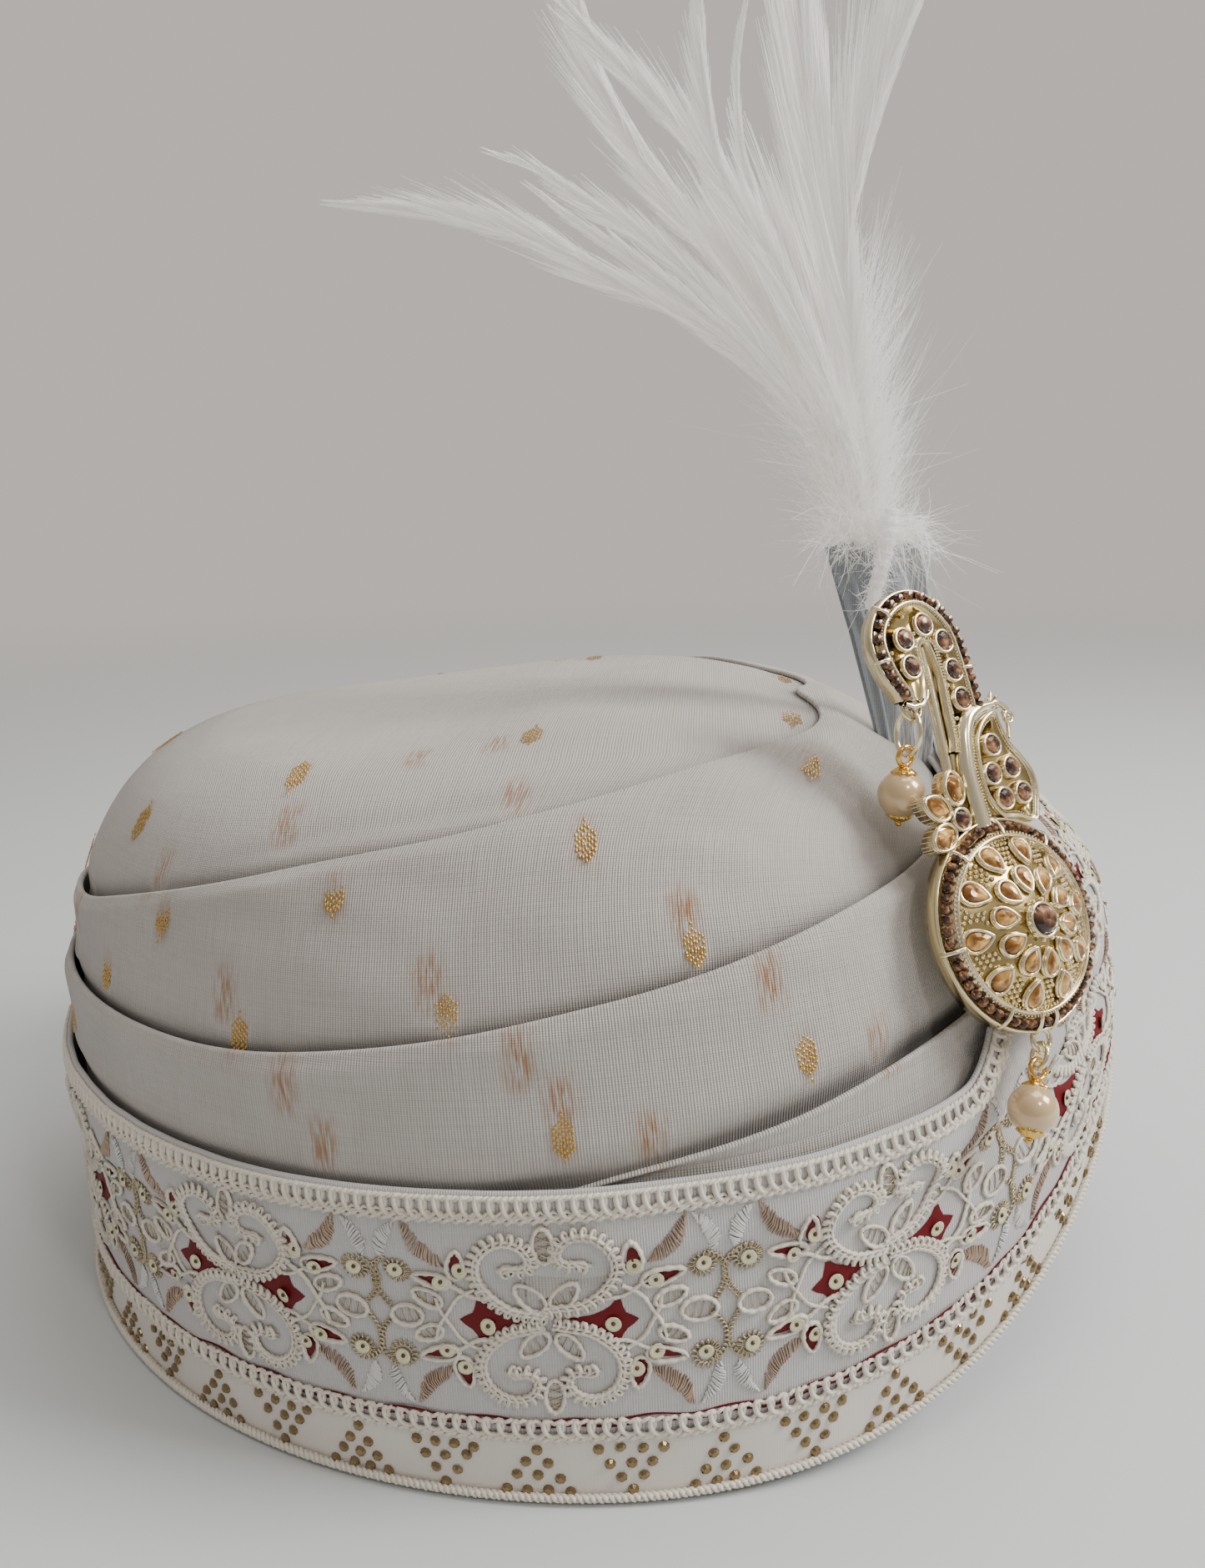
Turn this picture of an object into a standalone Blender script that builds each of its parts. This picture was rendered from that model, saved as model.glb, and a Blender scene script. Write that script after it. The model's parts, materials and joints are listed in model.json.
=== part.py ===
"""Tied pagri turban with a kalgi brooch, two pearl drops and a feather plume.

Run it with blender --background --python part.py, or from the text editor.
Lengths are metres and +Z is up. The rim lies on the plane z = 0, the wearer's
front is -Y and the wearer's right side, which carries the brooch, is -X.

The cloth lies on one surface, wound_surface, whose two parameters are angles:
"around" runs from the front (0) over the wearer's right (90) to the back (180),
and "up" runs from the top of the straight wall (0) to the crown's centre (90).
Every layer of cloth is that surface moved outwards by a small lift.
"""

import math

import bmesh
import bpy
import numpy as np
from mathutils import Matrix, Vector
from mathutils.bvhtree import BVHTree

# Outside form of the wound cloth
BODY_LENGTH = 0.260
BODY_WIDTH = 0.233
BODY_HEIGHT = 0.134
WALL_RISE = 0.2239
WALL_HEIGHT = WALL_RISE * BODY_HEIGHT
CROWN_ROUNDING = 2.07
CROWN_SQUARENESS = 6.0
CROWN_TILT = 0.0163
CROWN_SHIFT = 0.009
FRONT_DROP = 0.0394
BACK_RISE = 0.0207
FRONT_ARCH = 0.052
ARCH_NARROWNESS = 3.4

# Room for the head inside the padded body
HEAD_LENGTH = 0.205
HEAD_WIDTH = 0.180
HEAD_WALL = 0.060
HEAD_DEPTH = 0.110
HEAD_ROUNDING = 2.6

# Cloth layers
CLOTH_WALL = 0.0014
LAYER_GAP = 0.0005
SEAT_GAP = 0.0003
TUCK_DEPTH = 0.008
COLUMNS = 60

# Border, its two laces and the piping under it; rises are shares of the body's height
UPPER_LACE_RISE = 0.4776
UPPER_LACE_TOP = UPPER_LACE_RISE * BODY_HEIGHT
LOWER_LACE_TOP = 0.0177
LACE_WIDTH = 0.005
LACE_THICKNESS = 0.0012
CORD_RADIUS = 0.0012
SEAM_RISE = 0.388
BORDER_SEAM = SEAM_RISE * BODY_HEIGHT

# Fold lines of the pleats, in degrees: how far around, how far up
UPPER_FOLD = (
    (0, 84), (30, 79), (49, 76), (67, 70), (81, 65),
    (93, 62), (108, 58), (124, 51), (148, 41), (180, 36),
)
MIDDLE_FOLD = (
    (0, 74), (30, 58), (44, 50), (55, 46), (66, 42),
    (75, 39), (93, 35), (116, 31), (140, 30), (180, 28),
)
LOWER_FOLD = ((0, 32), (47, 26), (59, 24.5), (68, 22), (79, 19.5), (85, 18), (96, 14), (180, 14))
LOWER_FOLD_START = 26
LOWER_FOLD_END = 86

# Embroidered wrap over the front: how far up, its right edge and its left edge in degrees around
WRAP_EDGES = (
    (13, 41.6, -71.6), (18, 46.8, -76.8), (30, 42, -66), (45, 36, -46),
    (57, 29, -26), (64, 21, -10), (68, 12, -1),
)
WRAP_ROWS = (18, 22, 31, 40, 49, 58, 68)
FRONT_TUCK_START = 66
FRONT_TUCK_FULL = 42

# Brooch: where it lies on the cloth (its rise is a share of the body's height), which way
# it faces and how far it leans back
BROOCH_AROUND = 41
BROOCH_RISE = 0.6903
BROOCH_STANDOFF = 0.0064
BROOCH_FACING = 53.5
BROOCH_LEAN = 24.0
PLATE = 0.0028
MEDALLION_RADIUS = 0.0208
FIELD_RADIUS = 0.0166
DOME_RISE = 0.006
HALO_STONES = 30
HOOK_HALO_STONES = 20
PIN_RADIUS = 0.0013
STONE_HEIGHT = 0.0016

# Upper part of the brooch, from the medallion's centre: right and up along the brooch
HOOK_LENGTH = 0.0255
HOOK_FOOT = (0.0026, 0.0432)
HOOK_LINE = (
    (0.0, 0.0, 0.16), (-0.01, 0.19, 0.165), (-0.02, 0.41, 0.17), (-0.07, 0.64, 0.18), (-0.24, 0.79, 0.20),
    (-0.43, 0.76, 0.215), (-0.57, 0.61, 0.235), (-0.57, 0.43, 0.215), (-0.52, 0.17, 0.12),
)
NECK_LENGTH = 0.0250
NECK_FOOT = (0.0006, 0.0213)
NECK_LINE = (
    (0.0, 0.0, 0.11), (-0.13, 0.22, 0.11), (-0.15, 0.46, 0.09), (-0.08, 0.70, 0.09),
    (0.08, 0.85, 0.09), (0.30, 0.90, 0.08),
)
WING_LENGTH = 0.0255
WING_FOOT = (0.0085, 0.0187)
WING_OUTLINE = ((-0.25, 0.11), (-0.05, 0.02), (0.14, 0.01), (0.29, 0.17), (0.28, 0.40), (0.22, 0.72),
                (0.02, 0.97), (-0.12, 0.90), (-0.20, 0.68), (-0.24, 0.40))
BAR_LENGTH = 0.0240
BAR_FOOT = (-0.0052, 0.0204)
PETAL_LENGTH = 0.0072
PETAL_WIDTH = 0.0052
FLOWER_CENTRE = (-0.0072, 0.0222)
FLOWER_REACH = 0.0062
LOOP_RADIUS = 0.0023
EYE_RADIUS = 0.0019
SHANK = 0.0010
WIRE_RADIUS = 0.00055

# Set stones: right, up, radius
HOOK_STONES = ((-0.0032, 0.0620, 0.0020), (-0.0090, 0.0605, 0.0020), (-0.0098, 0.0545, 0.0020),
               (0.0008, 0.0573, 0.0020), (0.0014, 0.0518, 0.0019), (0.0020, 0.0463, 0.0018))
WING_STONES = ((0.0072, 0.0364, 0.0017), (0.0098, 0.0312, 0.0018), (0.0047, 0.0304, 0.0018),
               (0.0112, 0.0253, 0.0019), (0.0062, 0.0248, 0.0019))
CENTRE_STONE_RADIUS = 0.0030
PETAL_STONES = 10
INNER_RING = 0.0080
OUTER_RING = 0.0134
TEAR_LENGTH = 0.0048
TEAR_WIDTH = 0.0034

# Pearl drops: the bead's centre in the brooch's own axes, right, up and out
PEARL_RADIUS = 0.00475
PEARL_CLEARANCE = 0.0003
UPPER_PEARL = (-0.0121, 0.0297, -0.0082)
LOWER_PEARL = (-0.0068, -0.0343, -0.0018)

# Turra sleeve and plume, standing at the front of the crown
SLEEVE_AROUND = 13
SLEEVE_RISE = 0.9627
SLEEVE_HEIGHT = 0.047
SLEEVE_THICKNESS = 0.003
SLEEVE_EDGES = ((0.0, -0.11, 0.17), (0.19, -0.165, 0.17), (0.57, -0.275, 0.165), (1.0, -0.41, 0.065))
PLUME_HEIGHT = 0.125
PLUME_START = 0.0358
PLUME_SIDE = -0.0046
PLUME_DEPTH = 0.0035
QUILL_WIDTH = 0.0024
HEAD_RISE = 0.30
HEAD_WIDTH_SHARE = 0.176

# Feathers from left to right: points as shares of the plume's height (right, up), then the
# depth share at the tip
FEATHERS = (
    (((-0.21, 0.38), (-0.31, 0.44), (-0.53, 0.57), (-0.71, 0.62), (-0.96, 0.65)), -0.12),
    (((-0.19, 0.40), (-0.35, 0.53), (-0.47, 0.61), (-0.58, 0.68), (-0.68, 0.72)), 0.10),
    (((-0.17, 0.41), (-0.27, 0.51), (-0.35, 0.61), (-0.43, 0.71), (-0.58, 0.96)), -0.18),
    (((-0.14, 0.42), (-0.23, 0.56), (-0.30, 0.66), (-0.42, 0.81), (-0.54, 0.98)), 0.14),
    (((-0.11, 0.43), (-0.20, 0.58), (-0.29, 0.68), (-0.32, 0.80), (-0.34, 0.98)), 0.30),
    (((-0.08, 0.43), (-0.15, 0.55), (-0.24, 0.68), (-0.28, 0.78), (-0.27, 0.93)), 0.20),
    (((-0.06, 0.43), (-0.11, 0.50), (-0.14, 0.64), (-0.16, 0.80), (-0.19, 1.0)), -0.24),
    (((-0.03, 0.42), (-0.07, 0.50), (-0.09, 0.66), (-0.05, 0.82), (0.03, 1.0)), 0.08),
    (((0.02, 0.36), (0.035, 0.40), (0.045, 0.44), (0.045, 0.48), (0.04, 0.52)), -0.10),
)


def smooth(value):
    """Ease from 0 to 1 with level ends: 3 v squared less 2 v cubed, clamped."""
    value = np.clip(value, 0.0, 1.0)
    return value * value * (3.0 - 2.0 * value)


# Colour, roughness and metallic value of each material
FINISHES = {
    "crown_cloth": ((0.60, 0.59, 0.57), 0.75, 0.0),
    "embroidered_cloth": ((0.68, 0.66, 0.63), 0.8, 0.0),
    "lace": ((0.74, 0.70, 0.63), 0.85, 0.0),
    "sleeve_cloth": ((0.55, 0.60, 0.63), 0.5, 0.0),
    "feather": ((0.85, 0.85, 0.84), 0.9, 0.0),
    "pale_gold": ((0.86, 0.80, 0.60), 0.25, 1.0),
    "bright_gold": ((0.75, 0.50, 0.16), 0.25, 1.0),
    "amber_stone": ((0.80, 0.42, 0.14), 0.08, 0.0),
    "brown_stone": ((0.16, 0.08, 0.05), 0.08, 0.0),
    "pearl": ((0.86, 0.77, 0.60), 0.2, 0.0),
}


def finish(name):
    """Principled material with the colour, roughness and metallic value of its row."""
    if name in bpy.data.materials:
        return bpy.data.materials[name]
    colour, roughness, metallic = FINISHES[name]
    material = bpy.data.materials.new(name)
    material.use_nodes = True
    shader = material.node_tree.nodes["Principled BSDF"]
    shader.inputs["Base Color"].default_value = (*colour, 1.0)
    shader.inputs["Roughness"].default_value = roughness
    shader.inputs["Metallic"].default_value = metallic
    material.diffuse_color = (*colour, 1.0)
    return material


def add_solid(name, verts, faces, material):
    """One closed mesh object from points and faces, its faces turned outwards."""
    mesh = bpy.data.meshes.new(name)
    mesh.from_pydata([tuple(map(float, v)) for v in verts], [], faces)
    body = bmesh.new()
    body.from_mesh(mesh)
    bmesh.ops.recalc_face_normals(body, faces=body.faces)
    body.to_mesh(mesh)
    body.free()
    mesh.materials.append(finish(material))
    solid = bpy.data.objects.new(name, mesh)
    bpy.context.scene.collection.objects.link(solid)
    return solid


def grid_faces(rows, columns, wrap_rows, wrap_columns):
    """Quads over a grid of rows by columns whose points are numbered row by row."""
    faces = []
    for row in range(rows if wrap_rows else rows - 1):
        for column in range(columns if wrap_columns else columns - 1):
            right = (column + 1) % columns
            here, below = row * columns, (row + 1) % rows * columns
            faces.append((here + column, here + right, below + right, below + column))
    return faces


def add_skin(name, outer, inner, closed, material):
    """Cloth layer between an outer and an inner grid, joined at its edges.

    The inner grid's rows follow the outer grid's in the opposite order, so the
    two together are one sleeve; an open sleeve gets its two ends as faces.
    """
    sleeve = np.concatenate([outer, inner[::-1]])
    rows, columns = sleeve.shape[:2]
    faces = grid_faces(rows, columns, True, closed)
    if not closed:
        half = rows // 2
        for column in (0, columns - 1):
            for row in range(half - 1):
                a, b = row * columns + column, (row + 1) * columns + column
                c, d = (rows - 2 - row) * columns + column, (rows - 1 - row) * columns + column
                faces.append((a, b, c, d))
    return add_solid(name, sleeve.reshape(-1, 3), faces, material)


def add_tube(name, centres, sides_of, closed, material):
    """Tube through centres; sides_of(index) gives the ring of points at each."""
    rings = np.array([sides_of(index) for index in range(len(centres))])
    count, sides = rings.shape[:2]
    faces = grid_faces(count, sides, closed, True)
    if not closed:
        faces += [tuple(range(sides)), tuple(range((count - 1) * sides, count * sides))]
    return add_solid(name, rings.reshape(-1, 3), faces, material)


# The surface that the cloth is wound on


RIM_UP = -WALL_HEIGHT / (BODY_HEIGHT - WALL_HEIGHT)


def height_at(up):
    """Height above the rim at an angle up: level below 0, then a rounded shoulder."""
    shoulder = np.sin(np.clip(up, 0.0, math.pi / 2)) ** (2.0 / CROWN_ROUNDING)
    return WALL_HEIGHT + (BODY_HEIGHT - WALL_HEIGHT) * np.where(up > 0.0, shoulder, up)


def up_at(height):
    """The angle up at a height above the rim, the inverse of height_at."""
    share = (height - WALL_HEIGHT) / (BODY_HEIGHT - WALL_HEIGHT)
    return math.asin(share ** (CROWN_ROUNDING / 2.0)) if share > 0.0 else share


def wound_surface(around, up):
    """Point of the bare form: an ellipse that draws in towards the crown.

    The crown leans back, drops at the front and rises at the back, and the rim
    is arched over the forehead; each of these fades with the height above the rim.
    """
    reach = np.cos(np.clip(up, 0.0, math.pi / 2)) ** (2.0 / CROWN_SQUARENESS)
    height = height_at(up)
    rise = np.clip(height / BODY_HEIGHT, 0.0, 1.0)
    front = np.cos(around) * reach
    x = -BODY_WIDTH / 2 * np.sin(around) * reach
    y = -BODY_LENGTH / 2 * front + CROWN_SHIFT * rise**2
    arch = FRONT_ARCH * np.clip(np.cos(around), 0.0, None) ** ARCH_NARROWNESS * (1.0 - rise)
    drop = FRONT_DROP * np.clip(front, 0.0, None) ** 2 - BACK_RISE * np.clip(-front, 0.0, None) ** 2
    z = height + arch + CROWN_TILT * front * rise - drop * rise**2
    return np.stack([x, y, z], axis=-1)


def front_tuck(around, up):
    """How far all layers sink at the front, so that the wrap over them lies flush."""
    degrees = np.abs(np.degrees(around))
    across = smooth((FRONT_TUCK_START - degrees) / (FRONT_TUCK_START - FRONT_TUCK_FULL))
    rising = smooth((up - math.radians(2)) / math.radians(9))
    fading = smooth((math.radians(88) - up) / math.radians(26))
    return 2.0 * (CLOTH_WALL + LAYER_GAP) * across * rising * fading


def cloth_point(around, up, lift):
    """Point at a lift from the wound surface, along its outward normal."""
    around, up, lift = (np.asarray(value, float) for value in (around, up, lift))
    around, up, lift = np.broadcast_arrays(around, up, lift)
    around = (around + math.pi) % (2 * math.pi) - math.pi
    step = 1e-4
    across = wound_surface(around + step, up) - wound_surface(around - step, up)
    along = wound_surface(around, up + step) - wound_surface(around, up - step)
    normal = np.cross(along, across)
    length = np.linalg.norm(normal, axis=-1, keepdims=True)
    normal = np.where(length > 1e-12, normal / np.maximum(length, 1e-12), np.array([0.0, 0.0, 1.0]))
    return wound_surface(around, up) + normal * (lift - front_tuck(around, up))[..., None]


TUCK_UP = TUCK_DEPTH / (BODY_HEIGHT - WALL_HEIGHT)
STEP_OUT = CLOTH_WALL + LAYER_GAP
LACE_UP = up_at(UPPER_LACE_TOP)
SEAM_UP = up_at(BORDER_SEAM)


def fold_up(table, around):
    """Angle up of a fold line at each place around, the same on both sides."""
    degrees = np.abs((np.degrees(around) + 180.0) % 360.0 - 180.0)
    rows = np.array(table, float)
    return np.radians(np.interp(degrees, rows[:, 0], rows[:, 1]))


def wrap_edge(up, column):
    """Place around of the front wrap's edge (1 right, 2 left) at an angle up."""
    rows = np.array(WRAP_EDGES, float)
    return np.radians(np.interp(np.degrees(up), rows[:, 0], rows[:, column]))


def ring_angles():
    """The places around that all full rings of cloth share."""
    return np.arange(COLUMNS) * (2 * math.pi / COLUMNS)


# Wound body and pleats


BODY_LIFT = -(3 * STEP_OUT + SEAT_GAP)
CROWN_REACHES = (0.90, 0.70, 0.45, 0.20)


def build_wound_body():
    """Padded body with the crown above the upper fold, hollow for the head.

    Under the pleats the body stands back by three layers. Above the fold its
    rows shrink by shares of the reach that the fold has there.
    """
    around = ring_angles()
    fold = fold_up(UPPER_FOLD, around)
    rows = [cloth_point(around, np.full_like(around, up), BODY_LIFT) for up in np.radians((0, 14))]
    rows.insert(0, cloth_point(around, np.full_like(around, RIM_UP), BODY_LIFT))
    rows.append(cloth_point(around, (math.radians(14) + fold - TUCK_UP) / 2, BODY_LIFT))
    rows.append(cloth_point(around, fold - TUCK_UP, BODY_LIFT))
    rows.append(cloth_point(around, fold, 0.0))
    reach = np.cos(fold) ** (2.0 / CROWN_SQUARENESS)
    for share in CROWN_REACHES:
        rows.append(cloth_point(around, np.arccos((share * reach) ** (CROWN_SQUARENESS / 2.0)), 0.0))
    inner = [rim_inside(around)]
    for lean in np.radians((0, 28, 52, 72)):
        inner.append(head_room(around, lean))
    grid = np.concatenate([np.array(inner)[::-1], np.array(rows)])
    count = len(grid) * COLUMNS
    faces = grid_faces(len(grid), COLUMNS, False, True)
    last = (len(grid) - 1) * COLUMNS
    for column in range(COLUMNS):
        right = (column + 1) % COLUMNS
        faces.append((count, right, column))
        faces.append((count + 1, last + column, last + right))
    poles = [(0.0, 0.0, HEAD_DEPTH), wound_surface(np.float64(0.0), np.float64(math.pi / 2))]
    return add_solid("wound_body", list(grid.reshape(-1, 3)) + poles, faces, "crown_cloth")


def rim_inside(around):
    """Inner edge of the rim, arched over the forehead like the outer edge."""
    arch = FRONT_ARCH * np.clip(np.cos(around), 0.0, None) ** ARCH_NARROWNESS
    return np.stack([-HEAD_WIDTH / 2 * np.sin(around), -HEAD_LENGTH / 2 * np.cos(around), arch], axis=-1)


def head_room(around, lean):
    """Inside of the body: an oval that rounds over from HEAD_WALL to HEAD_DEPTH."""
    reach = math.cos(lean) ** (2.0 / HEAD_ROUNDING)
    height = HEAD_WALL + (HEAD_DEPTH - HEAD_WALL) * math.sin(lean)
    x = -HEAD_WIDTH / 2 * np.sin(around) * reach
    y = -HEAD_LENGTH / 2 * np.cos(around) * reach
    return np.stack([x, y, np.full_like(around, height)], axis=-1)


def layer_lift(up, top, cover, crest, tucked):
    """Lift of a pleat: its crest at the fold, level at the next fold, then a tuck under it."""
    stretch = np.maximum(top - cover, 1e-6)
    slope = crest * np.clip((up - cover) / stretch, 0.0, 1.0)
    return slope - STEP_OUT * smooth((cover - up) / TUCK_UP) - tucked


def build_pleat(name, top_table, next_table, under_next):
    """Full pleat between its own fold and the next one, tucked under that one."""
    around = ring_angles()
    top = fold_up(top_table, around)
    cover = np.maximum(fold_up(next_table, around), LACE_UP)
    ups = [top, (top + cover) / 2, cover, cover - TUCK_UP]
    outer, inner = [], []
    for up in ups:
        tucked = under_next(around, up)
        lift = layer_lift(up, top, cover, STEP_OUT, tucked)
        outer.append(cloth_point(around, up, lift))
        inner.append(cloth_point(around, up, lift - CLOTH_WALL))
    return add_skin(name, np.array(outer), np.array(inner), True, "crown_cloth")


def no_tuck(around, up):
    """Upper pleat: only the middle pleat lies on it."""
    return np.zeros_like(around)


def lower_tuck(around, up):
    """Middle pleat: it sinks one more layer where the lower pleat lies over it."""
    lower = fold_up(LOWER_FOLD, around)
    in_sight = smooth((lower - LACE_UP + TUCK_UP) / (0.5 * TUCK_UP))
    return (STEP_OUT + 0.7 * SEAT_GAP) * smooth((lower + TUCK_UP - up) / TUCK_UP) * in_sight


def build_lower_pleat(name, side):
    """Sliver of a pleat that comes out from under the lace towards the front."""
    around = np.radians(np.linspace(LOWER_FOLD_START, LOWER_FOLD_END, 11)) * side
    top = np.maximum(fold_up(LOWER_FOLD, around), LACE_UP - TUCK_UP / 2)
    out_of_lace = smooth((fold_up(LOWER_FOLD, around) - LACE_UP) / TUCK_UP)
    bottom = np.full_like(around, LACE_UP - TUCK_UP)
    outer, inner = [], []
    for share in (0.0, 0.5, 1.0):
        up = top + (bottom - top) * share
        slope = np.clip((up - LACE_UP) / np.maximum(top - LACE_UP, 1e-6), 0.0, 1.0)
        crest = STEP_OUT * out_of_lace * slope
        lift = crest - STEP_OUT * smooth((LACE_UP - up) / TUCK_UP) - SEAT_GAP
        outer.append(cloth_point(around, up, lift))
        inner.append(cloth_point(around, up, lift - CLOTH_WALL))
    return add_skin(name, np.array(outer), np.array(inner), False, "crown_cloth")


# Border, wrap, laces and piping


def border_raise(around):
    """Extra lift of the border near and under the front wrap, one layer and a gap."""
    degrees = (np.degrees(around) + 180.0) % 360.0 - 180.0
    right, left = WRAP_EDGES[1][1], WRAP_EDGES[1][2]
    outside = np.maximum(degrees - right - 4.0, left - 4.0 - degrees)
    return (STEP_OUT + SEAT_GAP) * smooth(1.0 - outside / 12.0)


def in_wrap(around):
    """1 where the front wrap stands on the border's seam, 0 elsewhere."""
    degrees = (np.degrees(around) + 180.0) % 360.0 - 180.0
    return ((degrees < WRAP_EDGES[1][1] + 1) & (degrees > WRAP_EDGES[1][2] - 1)).astype(float)


def border_lift(around, up):
    """Lift of the border: proud of the pleats at its top, level from the tuck down."""
    proud = smooth((up - (LACE_UP - 2.4 * TUCK_UP)) / (1.2 * TUCK_UP))
    return (STEP_OUT + border_raise(around)) * proud


def build_border():
    """Embroidered border from the lace to the rim, lower under the front wrap."""
    around = ring_angles()
    top = np.where(in_wrap(around) > 0.5, SEAM_UP, LACE_UP)
    outer, inner = [], []
    for share in (0.0, 0.28, 0.55, 0.78):
        up = top + (math.radians(-2) - top) * share
        outer.append(cloth_point(around, up, border_lift(around, up)))
        inner.append(cloth_point(around, up, border_lift(around, up) - CLOTH_WALL))
    rim = np.full_like(around, RIM_UP)
    outer.append(cloth_point(around, rim, 0.0))
    inner.append(cloth_point(around, rim, -CLOTH_WALL))
    return add_skin("border_band", np.array(outer), np.array(inner), True, "embroidered_cloth")


def wrap_lift():
    """Lift of the front wrap: over two layers of pleat."""
    return 2.0 * STEP_OUT + 2.0 * SEAT_GAP


def build_front_wrap():
    """Embroidered end of the cloth that runs over the front from both borders."""
    outer, inner = [], []
    ups = np.concatenate([[SEAM_UP + math.radians(0.25)], np.radians(WRAP_ROWS)])
    shares = np.linspace(0.0, 1.0, 15)
    for up in ups:
        around = wrap_edge(up, 1) + (wrap_edge(up, 2) - wrap_edge(up, 1)) * shares
        outer.append(cloth_point(around, up, wrap_lift()))
        inner.append(cloth_point(around, up, wrap_lift() - CLOTH_WALL))
    return add_skin("front_wrap", np.array(outer), np.array(inner), False, "embroidered_cloth")


def lace_strip(name, first, second, lift, closed):
    """Strip of lace between two lines of (around, up) at a lift."""
    bottom = lift + SEAT_GAP
    top = bottom + LACE_THICKNESS
    outer = [cloth_point(first[0], first[1], top), cloth_point(second[0], second[1], top)]
    inner = [cloth_point(first[0], first[1], bottom), cloth_point(second[0], second[1], bottom)]
    return add_skin(name, np.array(outer), np.array(inner), closed, "lace")


def build_upper_lace():
    """Lace along the border's top and round both edges of the front wrap.

    It runs from the top of the wrap down its right edge, along the border's top
    over the back, and up the wrap's left edge to the top again.
    """
    back = np.radians(np.arange(48.0, 282.1, 6.0))
    width = LACE_WIDTH / (BODY_HEIGHT - WALL_HEIGHT)
    ups = np.radians(WRAP_ROWS[1:])
    inset = math.radians(2.6)
    outer_around = np.concatenate([wrap_edge(ups[::-1], 1), back, wrap_edge(ups, 2)])
    outer_up = np.concatenate([ups[::-1], np.full_like(back, LACE_UP), ups])
    inner_around = np.concatenate([wrap_edge(ups[::-1], 1) - inset, back, wrap_edge(ups, 2) + inset])
    inner_up = np.concatenate([ups[::-1], np.full_like(back, LACE_UP - width), ups])
    on_wrap = np.full_like(ups, wrap_lift() + SEAT_GAP)
    lift = np.concatenate([on_wrap, border_lift(back, LACE_UP), on_wrap])
    return lace_strip("lace_upper", (outer_around, outer_up), (inner_around, inner_up), lift, False)


def build_lower_lace():
    """Lace a little above the rim, all the way round."""
    around = ring_angles()
    top = np.full_like(around, up_at(LOWER_LACE_TOP))
    bottom = np.full_like(around, up_at(LOWER_LACE_TOP - LACE_WIDTH))
    return lace_strip("lace_lower", (around, top), (around, bottom), np.zeros_like(around), True)


def build_rim_cord():
    """Twisted piping along the rim, just outside the border and off the table."""
    around = ring_angles()
    radius = CORD_RADIUS
    middle_up = up_at(radius + SEAT_GAP)
    rings = []
    for turn in np.radians((0, 72, 144, 216, 288)):
        up = middle_up + radius * math.sin(turn) / (BODY_HEIGHT - WALL_HEIGHT)
        lift = radius + SEAT_GAP + radius * math.cos(turn)
        rings.append(cloth_point(around, np.full_like(around, up), lift))
    grid = np.array(rings)
    return add_solid("rim_cord", grid.reshape(-1, 3), grid_faces(5, COLUMNS, True, True), "lace")


# Brooch


def brooch_frame():
    """Matrix from the brooch's own axes (right, up, out) to the turban's."""
    facing, lean = math.radians(BROOCH_FACING), math.radians(BROOCH_LEAN)
    out = Vector((-math.sin(facing) * math.cos(lean), -math.cos(facing) * math.cos(lean), math.sin(lean)))
    right = Vector((0.0, 0.0, 1.0)).cross(out).normalized()
    up = out.cross(right)
    lift = BROOCH_STANDOFF + STEP_OUT * 2.0
    place = cloth_point(math.radians(BROOCH_AROUND), up_at(BROOCH_RISE * BODY_HEIGHT), lift)
    matrix = Matrix((right, up, out)).transposed().to_4x4()
    matrix.translation = Vector(place)
    return matrix


def prism(name, outline, bottom, top, matrix, material):
    """Upright prism over an outline given in the brooch's axes."""
    count = len(outline)
    verts = [(x, y, bottom) for x, y in outline] + [(x, y, top) for x, y in outline]
    faces = [tuple(range(count))[::-1], tuple(range(count, 2 * count))]
    faces += [(i, (i + 1) % count, count + (i + 1) % count, count + i) for i in range(count)]
    return add_solid(name, [matrix @ Vector(v) for v in verts], faces, material)


def ribbon_outline(line, foot, length):
    """Outline of a ribbon from its centre line and half widths, as shares of a length."""
    rows = np.array(line, float) * length
    centre = rows[:, :2] + np.array(foot)
    along = np.gradient(centre, axis=0)
    along /= np.linalg.norm(along, axis=1)[:, None]
    side = np.stack([along[:, 1], -along[:, 0]], axis=1) * rows[:, 2:3]
    return [tuple(p) for p in np.concatenate([centre + side, (centre - side)[::-1]])]


def ellipse_outline(centre, half_length, half_width, turn, sides):
    """Outline of an ellipse whose long axis is turned from +X by turn."""
    points = []
    for index in range(sides):
        angle = 2 * math.pi * index / sides
        x, y = half_length * math.cos(angle), half_width * math.sin(angle)
        points.append((centre[0] + x * math.cos(turn) - y * math.sin(turn),
                       centre[1] + x * math.sin(turn) + y * math.cos(turn)))
    return points


def lathe(name, profile, segments, matrix, material):
    """Turned solid about the out axis from (radius, out) rows; both ends on the axis."""
    verts, faces = [], []
    for radius, out in profile[1:-1]:
        for index in range(segments):
            angle = 2 * math.pi * index / segments
            verts.append((radius * math.cos(angle), radius * math.sin(angle), out))
    rows = len(profile) - 2
    faces = grid_faces(rows, segments, False, True)
    bottom, top = len(verts), len(verts) + 1
    verts += [(0.0, 0.0, profile[0][1]), (0.0, 0.0, profile[-1][1])]
    for index in range(segments):
        right = (index + 1) % segments
        faces.append((bottom, right, index))
        faces.append((top, (rows - 1) * segments + index, (rows - 1) * segments + right))
    return add_solid(name, [matrix @ Vector(v) for v in verts], faces, material)


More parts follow.
